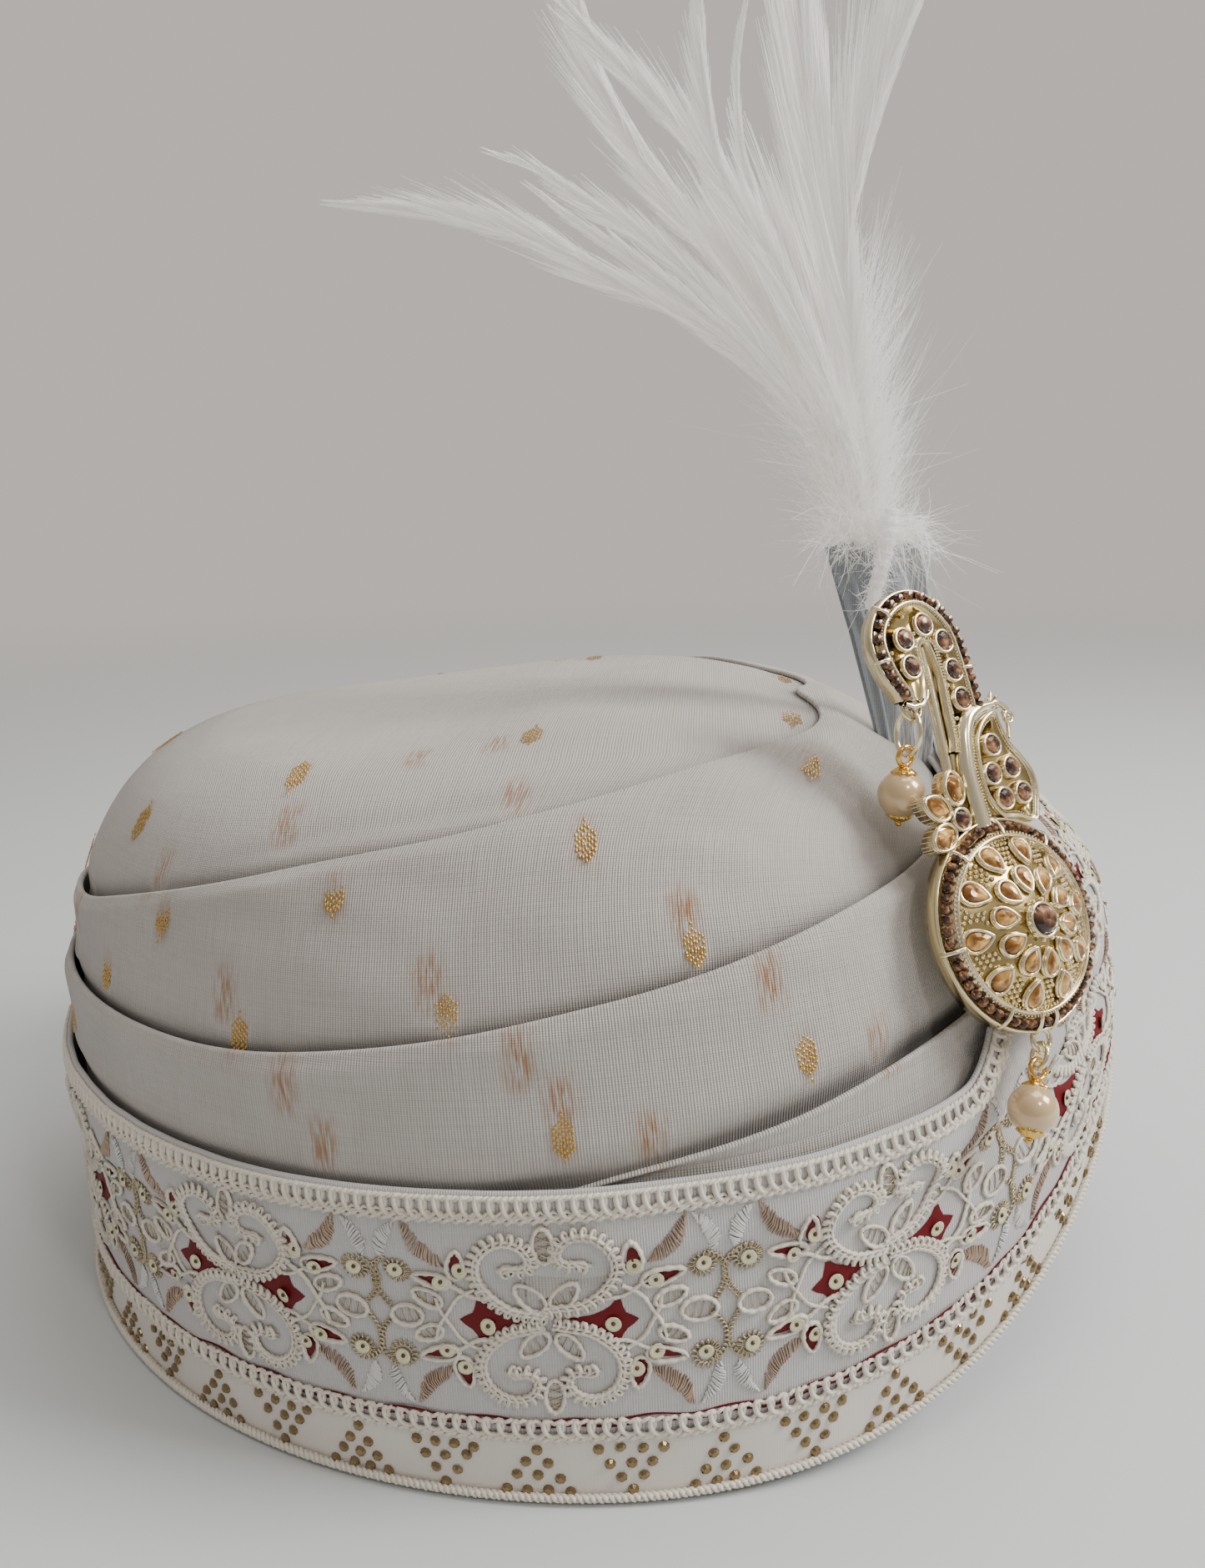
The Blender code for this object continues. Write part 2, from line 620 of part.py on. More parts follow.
def wire_ring(name, centre, normal, first, radius, side_radius, wire, segments, material):
    """Oval ring of round wire: radius along first and side_radius across it."""
    normal = Vector(normal).normalized()
    first = (Vector(first) - normal * normal.dot(Vector(first))).normalized()
    second = normal.cross(first)
    verts = []
    for index in range(segments):
        angle = 2 * math.pi * index / segments
        place = Vector(centre) + first * radius * math.cos(angle) + second * side_radius * math.sin(angle)
        spoke = (first * math.cos(angle) / radius + second * math.sin(angle) / side_radius).normalized()
        for side in range(5):
            turn = 2 * math.pi * side / 5
            verts.append(place + spoke * wire * math.cos(turn) + normal * wire * math.sin(turn))
    return add_solid(name, verts, grid_faces(segments, 5, True, True), material)


def dome_out(radius):
    """Height of the stone field's dome at a radius: a parabola down to its edge."""
    return 0.0009 + (DOME_RISE - 0.0009) * (1.0 - min(radius / FIELD_RADIUS, 1.0) ** 2)


def join(base, parts):
    """Add each part to the base with an exact union and put the parts out of sight."""
    for part in parts:
        union = base.modifiers.new("add_" + part.name, "BOOLEAN")
        union.operation = "UNION"
        union.solver = "EXACT"
        union.object = part
        part.hide_render = True
        part.display_type = "WIRE"


def build_brooch(matrix):
    """Soldered frame: domed medallion, flower, neck, wing, bars, hook and two loops."""
    rim = MEDALLION_RADIUS
    profile = [(0.0, -PLATE), (rim, -PLATE), (rim, 0.0003), (rim - 0.0006, 0.0003), (rim - 0.0006, -0.0004),
               (FIELD_RADIUS + 0.0008, -0.0004), (FIELD_RADIUS + 0.0008, 0.0012), (FIELD_RADIUS, 0.0012)]
    profile += [(FIELD_RADIUS * share, dome_out(FIELD_RADIUS * share)) for share in (0.8, 0.5, 0.22)]
    profile.append((0.0, DOME_RISE))
    frame = lathe("brooch_frame", profile, 28, matrix, "pale_gold")
    hook_outline = ribbon_outline(HOOK_LINE, HOOK_FOOT, HOOK_LENGTH)
    hook = prism("hook_plate", hook_outline, -0.0022, 0.0, matrix, "pale_gold")
    neck_outline = ribbon_outline(NECK_LINE, NECK_FOOT, NECK_LENGTH)
    neck = prism("neck_plate", neck_outline, -0.0026, 0.0017, matrix, "pale_gold")
    foot_x, foot_y = WING_FOOT
    wing_outline = [(foot_x + x * WING_LENGTH, foot_y + y * WING_LENGTH) for x, y in WING_OUTLINE]
    wing = prism("wing_plate", wing_outline, -0.0024, 0.0001, matrix, "pale_gold")
    bar_line = ((0.0, 0.0, 0.05), (-0.05, 0.5, 0.04), (0.02, 1.0, 0.04), (0.2, 1.15, 0.04))
    bar_outline = ribbon_outline(bar_line, BAR_FOOT, BAR_LENGTH)
    bar = prism("bar_plate", bar_outline, -0.0020, -0.0006, matrix, "pale_gold")
    parts = [hook, neck, wing, bar]
    for index, turn in enumerate(flower_turns()):
        centre = petal_centre(turn)
        outline = ellipse_outline(centre, PETAL_LENGTH / 2, PETAL_WIDTH / 2, turn, 8)
        bottom, top = -0.0018 - 0.0001 * index, 0.0002 * index
        parts.append(prism(f"petal_plate_{index}", outline, bottom, top, matrix, "pale_gold"))
    core = ellipse_outline(FLOWER_CENTRE, 0.0030, 0.0030, 0.2, 8)
    parts.append(prism("flower_core", core, -0.0023, 0.00035, matrix, "pale_gold"))
    turned = matrix.to_3x3()
    out, up = turned @ Vector((0.0, 0.0, 1.0)), turned @ Vector((0.0, 1.0, 0.0))
    reach, wire = LOOP_RADIUS, WIRE_RADIUS
    for name, place in (("upper_loop", upper_loop()), ("lower_loop", lower_loop())):
        centre = matrix @ Vector(place)
        parts.append(wire_ring(name, centre, out, up, reach, reach, wire, 10, "pale_gold"))
    join(frame, parts)
    return frame


def flower_turns():
    """Directions in which the flower's three petals point."""
    return tuple(math.radians(degrees) for degrees in (88, 146, 206))


def petal_centre(turn):
    """Middle of a petal that points along turn from the flower's centre."""
    x, y = FLOWER_CENTRE
    return (x + FLOWER_REACH * math.cos(turn), y + FLOWER_REACH * math.sin(turn))


def upper_loop():
    """Loop soldered under the hook's curled end."""
    x, y, half = HOOK_LINE[-1]
    return (HOOK_FOOT[0] + x * HOOK_LENGTH, HOOK_FOOT[1] + y * HOOK_LENGTH - LOOP_RADIUS, -0.0011)


def lower_loop():
    """Loop soldered under the medallion's rim."""
    return (0.0, -MEDALLION_RADIUS - LOOP_RADIUS + WIRE_RADIUS / 2, -0.0015)


def build_halo(matrix):
    """Field of small stones round the medallion, fused: two columns a stone, a crown on one."""
    inner, outer = FIELD_RADIUS + 0.0012, MEDALLION_RADIUS - 0.0010
    rings = []
    for index in range(2 * HALO_STONES):
        angle = math.pi * index / HALO_STONES
        crown = 0.0016 if index % 2 == 0 else 0.0008
        section = ((inner, -0.0001), ((inner + outer) / 2, crown), (outer, -0.0001))
        rings.append([matrix @ Vector((r * math.cos(angle), r * math.sin(angle), z)) for r, z in section])
    grid = np.array(rings)
    faces = grid_faces(2 * HALO_STONES, 3, True, True)
    return add_solid("halo_stones", grid.reshape(-1, 3), faces, "brown_stone")


def build_hook_halo(matrix):
    """Field of small stones along the hook's outer side, fused in the same way."""
    rows = np.array(HOOK_LINE, float) * HOOK_LENGTH
    centre = rows[:, :2] + np.array(HOOK_FOOT)
    along = np.gradient(centre, axis=0)
    along /= np.linalg.norm(along, axis=1)[:, None]
    edge = centre + np.stack([along[:, 1], -along[:, 0]], axis=1) * (rows[:, 2:3] - 0.0011)
    inset = centre + np.stack([along[:, 1], -along[:, 0]], axis=1) * (rows[:, 2:3] - 0.0024)
    share = np.linspace(0.10, 0.97, 2 * HOOK_HALO_STONES + 1) * (len(rows) - 1)
    knots = np.arange(len(rows))
    rings = []
    for index, at in enumerate(share):
        outside = np.array([np.interp(at, knots, edge[:, 0]), np.interp(at, knots, edge[:, 1])])
        inside = np.array([np.interp(at, knots, inset[:, 0]), np.interp(at, knots, inset[:, 1])])
        crown = 0.0016 if index % 2 else 0.0009
        middle = (outside + inside) / 2
        rings.append([matrix @ Vector((*inside, SEAT_GAP)), matrix @ Vector((*middle, crown)),
                      matrix @ Vector((*outside, SEAT_GAP))])
    return add_tube("hook_halo_stones", rings, lambda index: np.array(rings[index]), False, "brown_stone")


def cut_stone(name, outline, table_share, seat, tilt, matrix, material):
    """Cut stone: girdle at the seat, a crown of facets and a flat table."""
    count = len(outline)
    centre = np.mean(np.array(outline), axis=0)
    table = [(centre[0] + (x - centre[0]) * table_share, centre[1] + (y - centre[1]) * table_share)
             for x, y in outline]
    verts = [(x, y, 0.0) for x, y in outline] + [(x, y, STONE_HEIGHT) for x, y in table]
    faces = [tuple(range(count))[::-1], tuple(range(count, 2 * count))]
    faces += [(i, (i + 1) % count, count + (i + 1) % count, count + i) for i in range(count)]
    place = matrix @ Matrix.Translation(Vector(seat)) @ tilt
    return add_solid(name, [place @ Vector(v) for v in verts], faces, material)


def tear_outline(length, width):
    """Teardrop with its point towards -X: eight points of a pinched ellipse."""
    points = []
    for index in range(8):
        angle = 2 * math.pi * (index + 0.5) / 8
        pinch = 0.62 + 0.38 * (math.cos(angle) + 1) / 2
        points.append((length / 2 * math.cos(angle), width / 2 * math.sin(angle) * pinch))
    return points


def build_stones(matrix):
    """All set stones: the centre, two rings of teardrops, hook, wing and flower."""
    level = Matrix.Identity(4)
    round_stone = ellipse_outline((0.0, 0.0), 1.0, 1.0, 0.2, 8)
    scaled = [(x * CENTRE_STONE_RADIUS, y * CENTRE_STONE_RADIUS) for x, y in round_stone]
    cut_stone("centre_stone", scaled, 0.55, (0.0, 0.0, DOME_RISE + SEAT_GAP), level, matrix, "brown_stone")
    for ring, radius, start in (("inner", INNER_RING, 19.0), ("outer", OUTER_RING, 1.0)):
        slope = math.atan(2.0 * (DOME_RISE - 0.0009) * radius / FIELD_RADIUS**2)
        for index in range(PETAL_STONES):
            turn = Matrix.Rotation(math.radians(start + 360.0 * index / PETAL_STONES), 4, "Z")
            place = turn @ Matrix.Translation(Vector((radius, 0.0, dome_out(radius) + SEAT_GAP)))
            tilt = place @ Matrix.Rotation(slope, 4, "Y")
            outline = tear_outline(TEAR_LENGTH, TEAR_WIDTH)
            cut_stone(f"{ring}_stone_{index}", outline, 0.5, (0.0, 0.0, 0.0), tilt, matrix, "amber_stone")
    for name, stones, seat in (("hook", HOOK_STONES, 0.0), ("wing", WING_STONES, 0.0001)):
        for index, (x, y, radius) in enumerate(stones):
            outline = [(px * radius, py * radius) for px, py in round_stone]
            place = (x, y, seat + SEAT_GAP)
            cut_stone(f"{name}_stone_{index}", outline, 0.55, place, level, matrix, "brown_stone")
    for index, turn in enumerate(flower_turns()):
        x, y = petal_centre(turn)
        tilt = Matrix.Rotation(turn, 4, "Z")
        outline = tear_outline(PETAL_LENGTH * 0.62, PETAL_WIDTH * 0.6)
        place = (x, y, 0.0002 * index + SEAT_GAP)
        cut_stone(f"flower_stone_{index}", outline, 0.5, place, tilt, matrix, "amber_stone")
    outline = [(px * 0.0018, py * 0.0018) for px, py in round_stone]
    place = (*FLOWER_CENTRE, 0.00035 + SEAT_GAP)
    cut_stone("flower_stone_3", outline, 0.55, place, level, matrix, "brown_stone")


def build_drop(name, loop, pearl, matrix):
    """Pearl on a headpin: jump ring through the frame's loop, eye, bead and cap."""
    start, bead = Vector(loop), Vector(pearl)
    down = (bead - start).normalized()
    turned = matrix.to_3x3()
    across = down.cross(Vector((0.0, 0.0, 1.0))).normalized()
    out = across.cross(down)
    inside = 2.0 * (WIRE_RADIUS + SEAT_GAP)
    eye_centre = bead - down * (PEARL_RADIUS + SHANK + EYE_RADIUS)
    ring_top = start + down * (LOOP_RADIUS - inside)
    ring_bottom = eye_centre - down * (EYE_RADIUS - inside)
    reach = (ring_bottom - ring_top).length / 2
    middle, side_reach = matrix @ ((ring_top + ring_bottom) / 2), max(0.75 * reach, 0.0016)
    wire_ring(f"jump_ring_{name}", middle, turned @ across, turned @ down, reach, side_reach,
              WIRE_RADIUS, 12, "pale_gold")
    frame = down.to_track_quat("Z", "Y").to_matrix().to_4x4()
    frame.translation = bead
    shank = ((0.0, -PEARL_RADIUS - SHANK), (0.0006, -PEARL_RADIUS - SHANK), (0.0006, PEARL_RADIUS + 0.0003),
             (0.0026, PEARL_RADIUS + 0.0001), (0.0020, PEARL_RADIUS + 0.0013), (0.0, PEARL_RADIUS + 0.0015))
    pin = lathe(f"pearl_pin_{name}", shank, 8, matrix @ frame, "bright_gold")
    eye = wire_ring(f"eye_{name}", matrix @ eye_centre, turned @ out, turned @ down, EYE_RADIUS, EYE_RADIUS,
                    WIRE_RADIUS, 10, "bright_gold")
    join(pin, [eye])
    bore, sides, rows = 0.0009, 12, 8
    start_angle = math.asin(bore / PEARL_RADIUS)
    rings = []
    for index in range(rows):
        angle = start_angle + (math.pi - 2 * start_angle) * index / (rows - 1)
        rings.append((PEARL_RADIUS * math.sin(angle), -PEARL_RADIUS * math.cos(angle)))
    verts = []
    for radius, out in rings:
        for side in range(sides):
            turn = 2 * math.pi * side / sides
            verts.append(matrix @ frame @ Vector((radius * math.cos(turn), radius * math.sin(turn), out)))
    add_solid(f"pearl_{name}", verts, grid_faces(rows, sides, True, True), "pearl")


def distance_to_cloth(origin, direction, cloths):
    """Shortest way from a point along a direction to any of the cloth solids."""
    hits = []
    for cloth in cloths:
        mesh = cloth.data
        corners = [v.co for v in mesh.vertices]
        tree = BVHTree.FromPolygons(corners, [tuple(p.vertices) for p in mesh.polygons])
        distance = tree.ray_cast(origin, direction)[3]
        if distance is not None:
            hits.append(distance)
    return min(hits)


def build_brooch_pin(matrix, cloths):
    """Hidden post that carries the brooch, from its back plate down to the cloth."""
    side, height = 0.010, -0.002
    out = matrix.to_3x3() @ Vector((0.0, 0.0, 1.0))
    lengths = []
    for dx, dy in ((0, 0), (1, 0), (-1, 0), (0, 1), (0, -1)):
        start = matrix @ Vector((side + dx * PIN_RADIUS, height + dy * PIN_RADIUS, -PLATE - SEAT_GAP))
        lengths.append(distance_to_cloth(start, -out, cloths))
    bottom = -PLATE - SEAT_GAP - (min(lengths) - SEAT_GAP)
    outline = ellipse_outline((side, height), PIN_RADIUS, PIN_RADIUS, 0.0, 8)
    return prism("brooch_pin", outline, bottom, -PLATE - SEAT_GAP, matrix, "pale_gold")


# Turra sleeve and plume


def stand_frame():
    """Axes of the sleeve and plume: right, up and depth, from their foot on the crown."""
    place = cloth_point(math.radians(SLEEVE_AROUND), up_at(SLEEVE_RISE * BODY_HEIGHT), 0.0)
    right = Vector((0.086, -0.996, 0.0)).normalized()
    up = Vector((0.0, 0.0, 1.0))
    matrix = Matrix((right, up.cross(right) * -1.0, up)).transposed().to_4x4()
    matrix.translation = Vector(place)
    return matrix


def build_sleeve(matrix, cloths):
    """Folded stiff cloth strip, its foot cut to the crown's slope."""
    rings = []
    for share, left, right in SLEEVE_EDGES:
        ring = []
        width = (right - left) * SLEEVE_HEIGHT
        for across, depth in ((0.0, 0.0), (0.3, -1.0), (0.55, -0.35), (1.0, -0.8), (1.0, 0.4), (0.5, 0.8)):
            x = left * SLEEVE_HEIGHT + across * width
            point = matrix @ Vector((x, depth * SLEEVE_THICKNESS / 2, share * SLEEVE_HEIGHT))
            if share == 0.0:
                high = Vector((point.x, point.y, matrix.translation.z + SLEEVE_HEIGHT))
                down = Vector((0.0, 0.0, -1.0))
                point.z = high.z - distance_to_cloth(high, down, cloths) + LAYER_GAP
            ring.append(tuple(point))
        rings.append(ring)
    return add_tube("plume_sleeve", rings, lambda index: np.array(rings[index]), False, "sleeve_cloth")


def build_plume(matrix):
    """Plume as a quill and a head that opens into flat feathers, all one solid.

    The head is a row of cells from one feather to the next. It grows out of
    the quill, and each cell runs on as one feather along its own points.
    """
    count = len(FEATHERS)
    shift = Vector((PLUME_SIDE, -PLUME_DEPTH, PLUME_START))
    verts, faces = [], []

    def add_point(x, depth, z):
        verts.append(matrix @ (Vector((x, depth, z)) + shift))
        return len(verts) - 1

    half = QUILL_WIDTH / 2
    levels = (
        (0.0, QUILL_WIDTH, 0.0, 0.0),
        (0.12, QUILL_WIDTH * 2.6, -0.035, half),
        (HEAD_RISE, HEAD_WIDTH_SHARE * PLUME_HEIGHT, -0.075, half),
    )
    rings = []
    for rise, width, side, swell in levels:
        front, back = [], []
        for index in range(count + 1):
            share = index / count
            x = side * PLUME_HEIGHT + (share - 0.5) * width
            z = rise * PLUME_HEIGHT + (0.004 * math.sin(math.pi * share) if rise == HEAD_RISE else 0.0)
            front.append(add_point(x, -half - swell, z))
            back.append(add_point(x, half + swell, z))
        rings.append((front, back))
    for (front_a, back_a), (front_b, back_b) in zip(rings, rings[1:]):
        for index in range(count):
            faces.append((front_a[index], front_a[index + 1], front_b[index + 1], front_b[index]))
            faces.append((back_a[index + 1], back_a[index], back_b[index], back_b[index + 1]))
        faces.append((back_a[0], front_a[0], front_b[0], back_b[0]))
        faces.append((front_a[-1], back_a[-1], back_b[-1], front_b[-1]))
    front, back = rings[0]
    faces.append(tuple(front[::-1] + back))
    front, back = rings[-1]
    for index, (points, tip_depth) in enumerate(FEATHERS):
        previous = (front[index], front[index + 1], back[index + 1], back[index])
        rows = np.array(points, float) * PLUME_HEIGHT
        along = np.gradient(rows, axis=0)
        along /= np.linalg.norm(along, axis=1)[:, None]
        for step, (x, z) in enumerate(rows):
            share = (step + 1) / len(rows)
            reach = 0.0013 * (1.0 - 0.75 * share)
            side = (along[step, 1] * reach, -along[step, 0] * reach)
            thick = half * (0.8 - 0.55 * share)
            depth = tip_depth * PLUME_HEIGHT * share
            corners = ((-1, -1), (1, -1), (1, 1), (-1, 1))
            ring = [add_point(x + a * side[0], depth + b * thick, z + a * side[1]) for a, b in corners]
            for corner in range(4):
                after = (corner + 1) % 4
                faces.append((previous[corner], previous[after], ring[after], ring[corner]))
            previous = ring
        faces.append(previous)
    return add_solid("plume", verts, faces, "feather")


def stand_off(matrix, cloths):
    """Move the brooch outwards until the upper pearl clears the cloth behind it."""
    out = matrix.to_3x3() @ Vector((0.0, 0.0, 1.0))
    for _ in range(3):
        pearl = matrix @ Vector(UPPER_PEARL)
        short = PEARL_RADIUS + PEARL_CLEARANCE - distance_around(pearl, cloths)
        matrix.translation += out * max(short, 0.0)
    return matrix


def distance_around(point, cloths):
    """Shortest distance from a point to any of the cloth solids."""
    gaps = []
    for cloth in cloths:
        mesh = cloth.data
        corners = [v.co for v in mesh.vertices]
        tree = BVHTree.FromPolygons(corners, [tuple(p.vertices) for p in mesh.polygons])
        gaps.append(tree.find_nearest(point)[3])
    return min(gaps)


def main():
    for old in list(bpy.data.objects):
        bpy.data.objects.remove(old, do_unlink=True)
    body = build_wound_body()
    upper = build_pleat("pleat_upper", UPPER_FOLD, MIDDLE_FOLD, no_tuck)
    middle = build_pleat("pleat_middle", MIDDLE_FOLD, LOWER_FOLD, lower_tuck)
    build_lower_pleat("pleat_lower_right", 1)
    build_lower_pleat("pleat_lower_left", -1)
    border = build_border()
    wrap = build_front_wrap()
    upper_lace = build_upper_lace()
    build_lower_lace()
    build_rim_cord()
    brooch = stand_off(brooch_frame(), [upper, middle, border, wrap, upper_lace])
    build_brooch(brooch)
    build_halo(brooch)
    build_hook_halo(brooch)
    build_stones(brooch)
    build_drop("upper", upper_loop(), UPPER_PEARL, brooch)
    build_drop("lower", lower_loop(), LOWER_PEARL, brooch)
    build_brooch_pin(brooch, [upper, middle, border, wrap, upper_lace])
    stand = stand_frame()
    build_sleeve(stand, [body, upper, middle, wrap, upper_lace])
    build_plume(stand)


main()
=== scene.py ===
"""Looks of the tied pagri turban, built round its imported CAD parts.

Lengths are metres and +Z is up. The wearer's front is -Y and the wearer's right
is -X. All cloth lies on one surface of two angles, around and up, as in the CAD:
"around" runs from the front over the wearer's right to the back, and "up" runs
from the top of the straight wall to the crown's centre. Embroidery and lace are
drawn flat, as distance along the rim and height, and then laid on that surface.
"""

import json
import math

import bpy
import numpy as np
from mathutils import Matrix, Vector

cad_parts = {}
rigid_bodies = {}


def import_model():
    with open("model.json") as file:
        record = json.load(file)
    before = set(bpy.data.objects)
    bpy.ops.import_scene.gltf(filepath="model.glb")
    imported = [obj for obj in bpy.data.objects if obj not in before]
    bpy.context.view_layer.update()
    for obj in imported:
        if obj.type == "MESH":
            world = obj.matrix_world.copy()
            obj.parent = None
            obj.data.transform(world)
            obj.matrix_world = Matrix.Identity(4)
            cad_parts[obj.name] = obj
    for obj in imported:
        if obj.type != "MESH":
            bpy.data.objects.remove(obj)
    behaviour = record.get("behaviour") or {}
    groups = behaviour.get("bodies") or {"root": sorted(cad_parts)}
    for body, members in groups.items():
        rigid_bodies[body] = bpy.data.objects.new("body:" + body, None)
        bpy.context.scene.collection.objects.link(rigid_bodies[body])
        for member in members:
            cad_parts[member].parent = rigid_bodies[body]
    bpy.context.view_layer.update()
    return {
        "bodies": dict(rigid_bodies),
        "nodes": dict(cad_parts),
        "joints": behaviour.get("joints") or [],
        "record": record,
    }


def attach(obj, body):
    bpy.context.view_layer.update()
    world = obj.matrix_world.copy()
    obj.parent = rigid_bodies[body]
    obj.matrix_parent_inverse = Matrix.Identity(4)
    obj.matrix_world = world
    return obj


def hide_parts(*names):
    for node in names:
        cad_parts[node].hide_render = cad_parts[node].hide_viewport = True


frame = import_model()

MM = 0.001

# Form of the wound cloth, the same as the CAD's
BODY_LENGTH = 0.260
BODY_WIDTH = 0.233
BODY_HEIGHT = 0.134
WALL_HEIGHT = 0.030
CROWN_ROUNDING = 2.07
CROWN_SQUARENESS = 6.0
CROWN_TILT = 0.0163
CROWN_SHIFT = 0.009
FRONT_DROP = 0.0394
BACK_RISE = 0.0207
FRONT_ARCH = 0.052
ARCH_NARROWNESS = 3.4
HEAD_LENGTH = 0.205
HEAD_WIDTH = 0.180
HEAD_WALL = 0.060
HEAD_DEPTH = 0.110
HEAD_ROUNDING = 2.6
CLOTH_WALL = 0.0014
LAYER_GAP = 0.0005
SEAT_GAP = 0.0003
TUCK_DEPTH = 0.008
UPPER_LACE_TOP = 0.064
LOWER_LACE_TOP = 0.0177
STEP_OUT = CLOTH_WALL + LAYER_GAP
TUCK_UP = TUCK_DEPTH / (BODY_HEIGHT - WALL_HEIGHT)
RIM_UP = -WALL_HEIGHT / (BODY_HEIGHT - WALL_HEIGHT)

# Fold lines of the pleats, in degrees: how far around, how far up
UPPER_FOLD = (
    (0, 84), (30, 79), (49, 76), (67, 70), (81, 65),
    (93, 62), (108, 58), (124, 51), (148, 41), (180, 36),
)
MIDDLE_FOLD = (
    (0, 74), (30, 58), (44, 50), (55, 46), (66, 42),
    (75, 39), (93, 35), (116, 31), (140, 30), (180, 28),
)
LOWER_FOLD = ((0, 32), (47, 26), (59, 24.5), (68, 22), (79, 19.5), (85, 18), (96, 14), (180, 14))
LOWER_FOLD_START = 26
LOWER_FOLD_END = 86

# Top line of the embroidered cloth, in degrees: how far around, how far up
WRAP_TOP = (
    (-180, 18.3), (-78, 18.3), (-66, 30), (-46, 45), (-26, 57), (-10, 64.5), (-1, 67),
    (12, 67), (21, 63.5), (29, 57), (36, 45), (42, 30), (48, 18.3), (180, 18.3),
)
FRONT_TUCK_START = 66
FRONT_TUCK_FULL = 42


# Small tools


def smooth(value):
    """Ease from 0 to 1 with level ends: 3 v squared less 2 v cubed, clamped."""
    value = np.clip(value, 0.0, 1.0)
    return value * value * (3.0 - 2.0 * value)


def folded(around):
    """The place around as degrees from -180 to 180."""
    return (np.degrees(around) + 180.0) % 360.0 - 180.0


def waves(around, up, seed, count, most_around, most_up):
    """Soft unevenness near -1 to 1: a sum of sines with whole turns around."""
    dice = np.random.default_rng(seed)
    total = np.zeros(np.broadcast(around, up).shape)
    turns = dice.integers(1, most_around, count)
    rises = dice.uniform(-most_up, most_up, count)
    phases = dice.uniform(0.0, 2.0 * math.pi, count)
    for turn, rise, phase in zip(turns, rises, phases):
        total = total + np.sin(turn * around + rise * up + phase)
    return total / math.sqrt(count)


def mesh_object(name, verts, quads, material, uv=None, tint=None, flat=False):
    """Object from an array of points and an array of four-sided faces."""
    verts = np.asarray(verts, np.float32).reshape(-1, 3)
    quads = np.asarray(quads, np.int32).reshape(-1, 4)
    mesh = bpy.data.meshes.new(name)
    mesh.vertices.add(len(verts))
    mesh.vertices.foreach_set("co", verts.ravel())
    mesh.loops.add(quads.size)
    mesh.loops.foreach_set("vertex_index", quads.ravel())
    mesh.polygons.add(len(quads))
    mesh.polygons.foreach_set("loop_start", np.arange(0, quads.size, 4, dtype=np.int32))
    mesh.update(calc_edges=True)
    mesh.validate()
    mesh.polygons.foreach_set("use_smooth", np.full(len(mesh.polygons), not flat))
    if uv is not None:
        layer = mesh.uv_layers.new(name="UVMap")
        corners = np.zeros(len(mesh.loops), np.int32)
        mesh.loops.foreach_get("vertex_index", corners)
        layer.data.foreach_set("uv", np.asarray(uv, np.float32).reshape(-1, 2)[corners].ravel())
    if tint is not None:
        attribute = mesh.attributes.new("tint", "FLOAT", "POINT")
        attribute.data.foreach_set("value", np.asarray(tint, np.float32).ravel())
    mesh.materials.append(material)
    body = bpy.data.objects.new(name, mesh)
    bpy.context.scene.collection.objects.link(body)
    return body


def grid_quads(rows, columns, closed_rows=False, closed_columns=False):
    """Faces of a grid of points numbered row by row."""
    row = np.arange(rows if closed_rows else rows - 1)[:, None]
    column = np.arange(columns if closed_columns else columns - 1)[None, :]
    right = (column + 1) % columns
    below = (row + 1) % rows
    corners = (row * columns + column, row * columns + right, below * columns + right, below * columns + column)
    return np.stack([np.broadcast_to(c, (row.size, column.size)) for c in corners], axis=-1).reshape(-1, 4)


def repeat_quads(quads, points, copies):
    """The same faces for many copies of a shape that has a given number of points."""
    return (quads[None] + (np.arange(copies) * points)[:, None, None]).reshape(-1, 4)


def unit(vectors):
    """Vectors of length one."""
    return vectors / np.maximum(np.linalg.norm(vectors, axis=-1, keepdims=True), 1e-12)


def tubes(paths, normals, radius, sides=4, closed=False):
    """Round wires along many paths: a ring of points about each point of a path.

    paths and normals are (copies, points, 3). The ring lies in the plane of the
    normal and of the side direction, which is square to the path.
    """
    copies, count = paths.shape[:2]
    if closed:
        along = np.roll(paths, -1, axis=1) - np.roll(paths, 1, axis=1)
    else:
        along = np.gradient(paths, axis=1)
    side = unit(np.cross(along, normals))
    out = unit(np.cross(side, along))
    turn = 2.0 * math.pi * np.arange(sides) / sides
    radius = np.broadcast_to(np.asarray(radius, float), (copies, count))[:, :, None, None]
    ring = side[:, :, None] * np.cos(turn)[:, None] + out[:, :, None] * np.sin(turn)[:, None]
    verts = paths[:, :, None] + radius * ring
    quads = repeat_quads(grid_quads(count, sides, closed, True), count * sides, copies)
    return verts.reshape(-1, 3), quads


def gather(parts):
    """One set of points and faces out of several."""
    verts, quads, start = [], [], 0
    for points, faces in parts:
        points = np.asarray(points).reshape(-1, 3)
        verts.append(points)
        quads.append(np.asarray(faces) + start)
        start += len(points)
    return np.concatenate(verts), np.concatenate(quads)


# The surface that the cloth is wound on


def height_at(up):
    """Height above the rim at an angle up: straight wall, then a rounded shoulder."""
    shoulder = np.sin(np.clip(up, 0.0, math.pi / 2)) ** (2.0 / CROWN_ROUNDING)
    return WALL_HEIGHT + (BODY_HEIGHT - WALL_HEIGHT) * np.where(up > 0.0, shoulder, up)


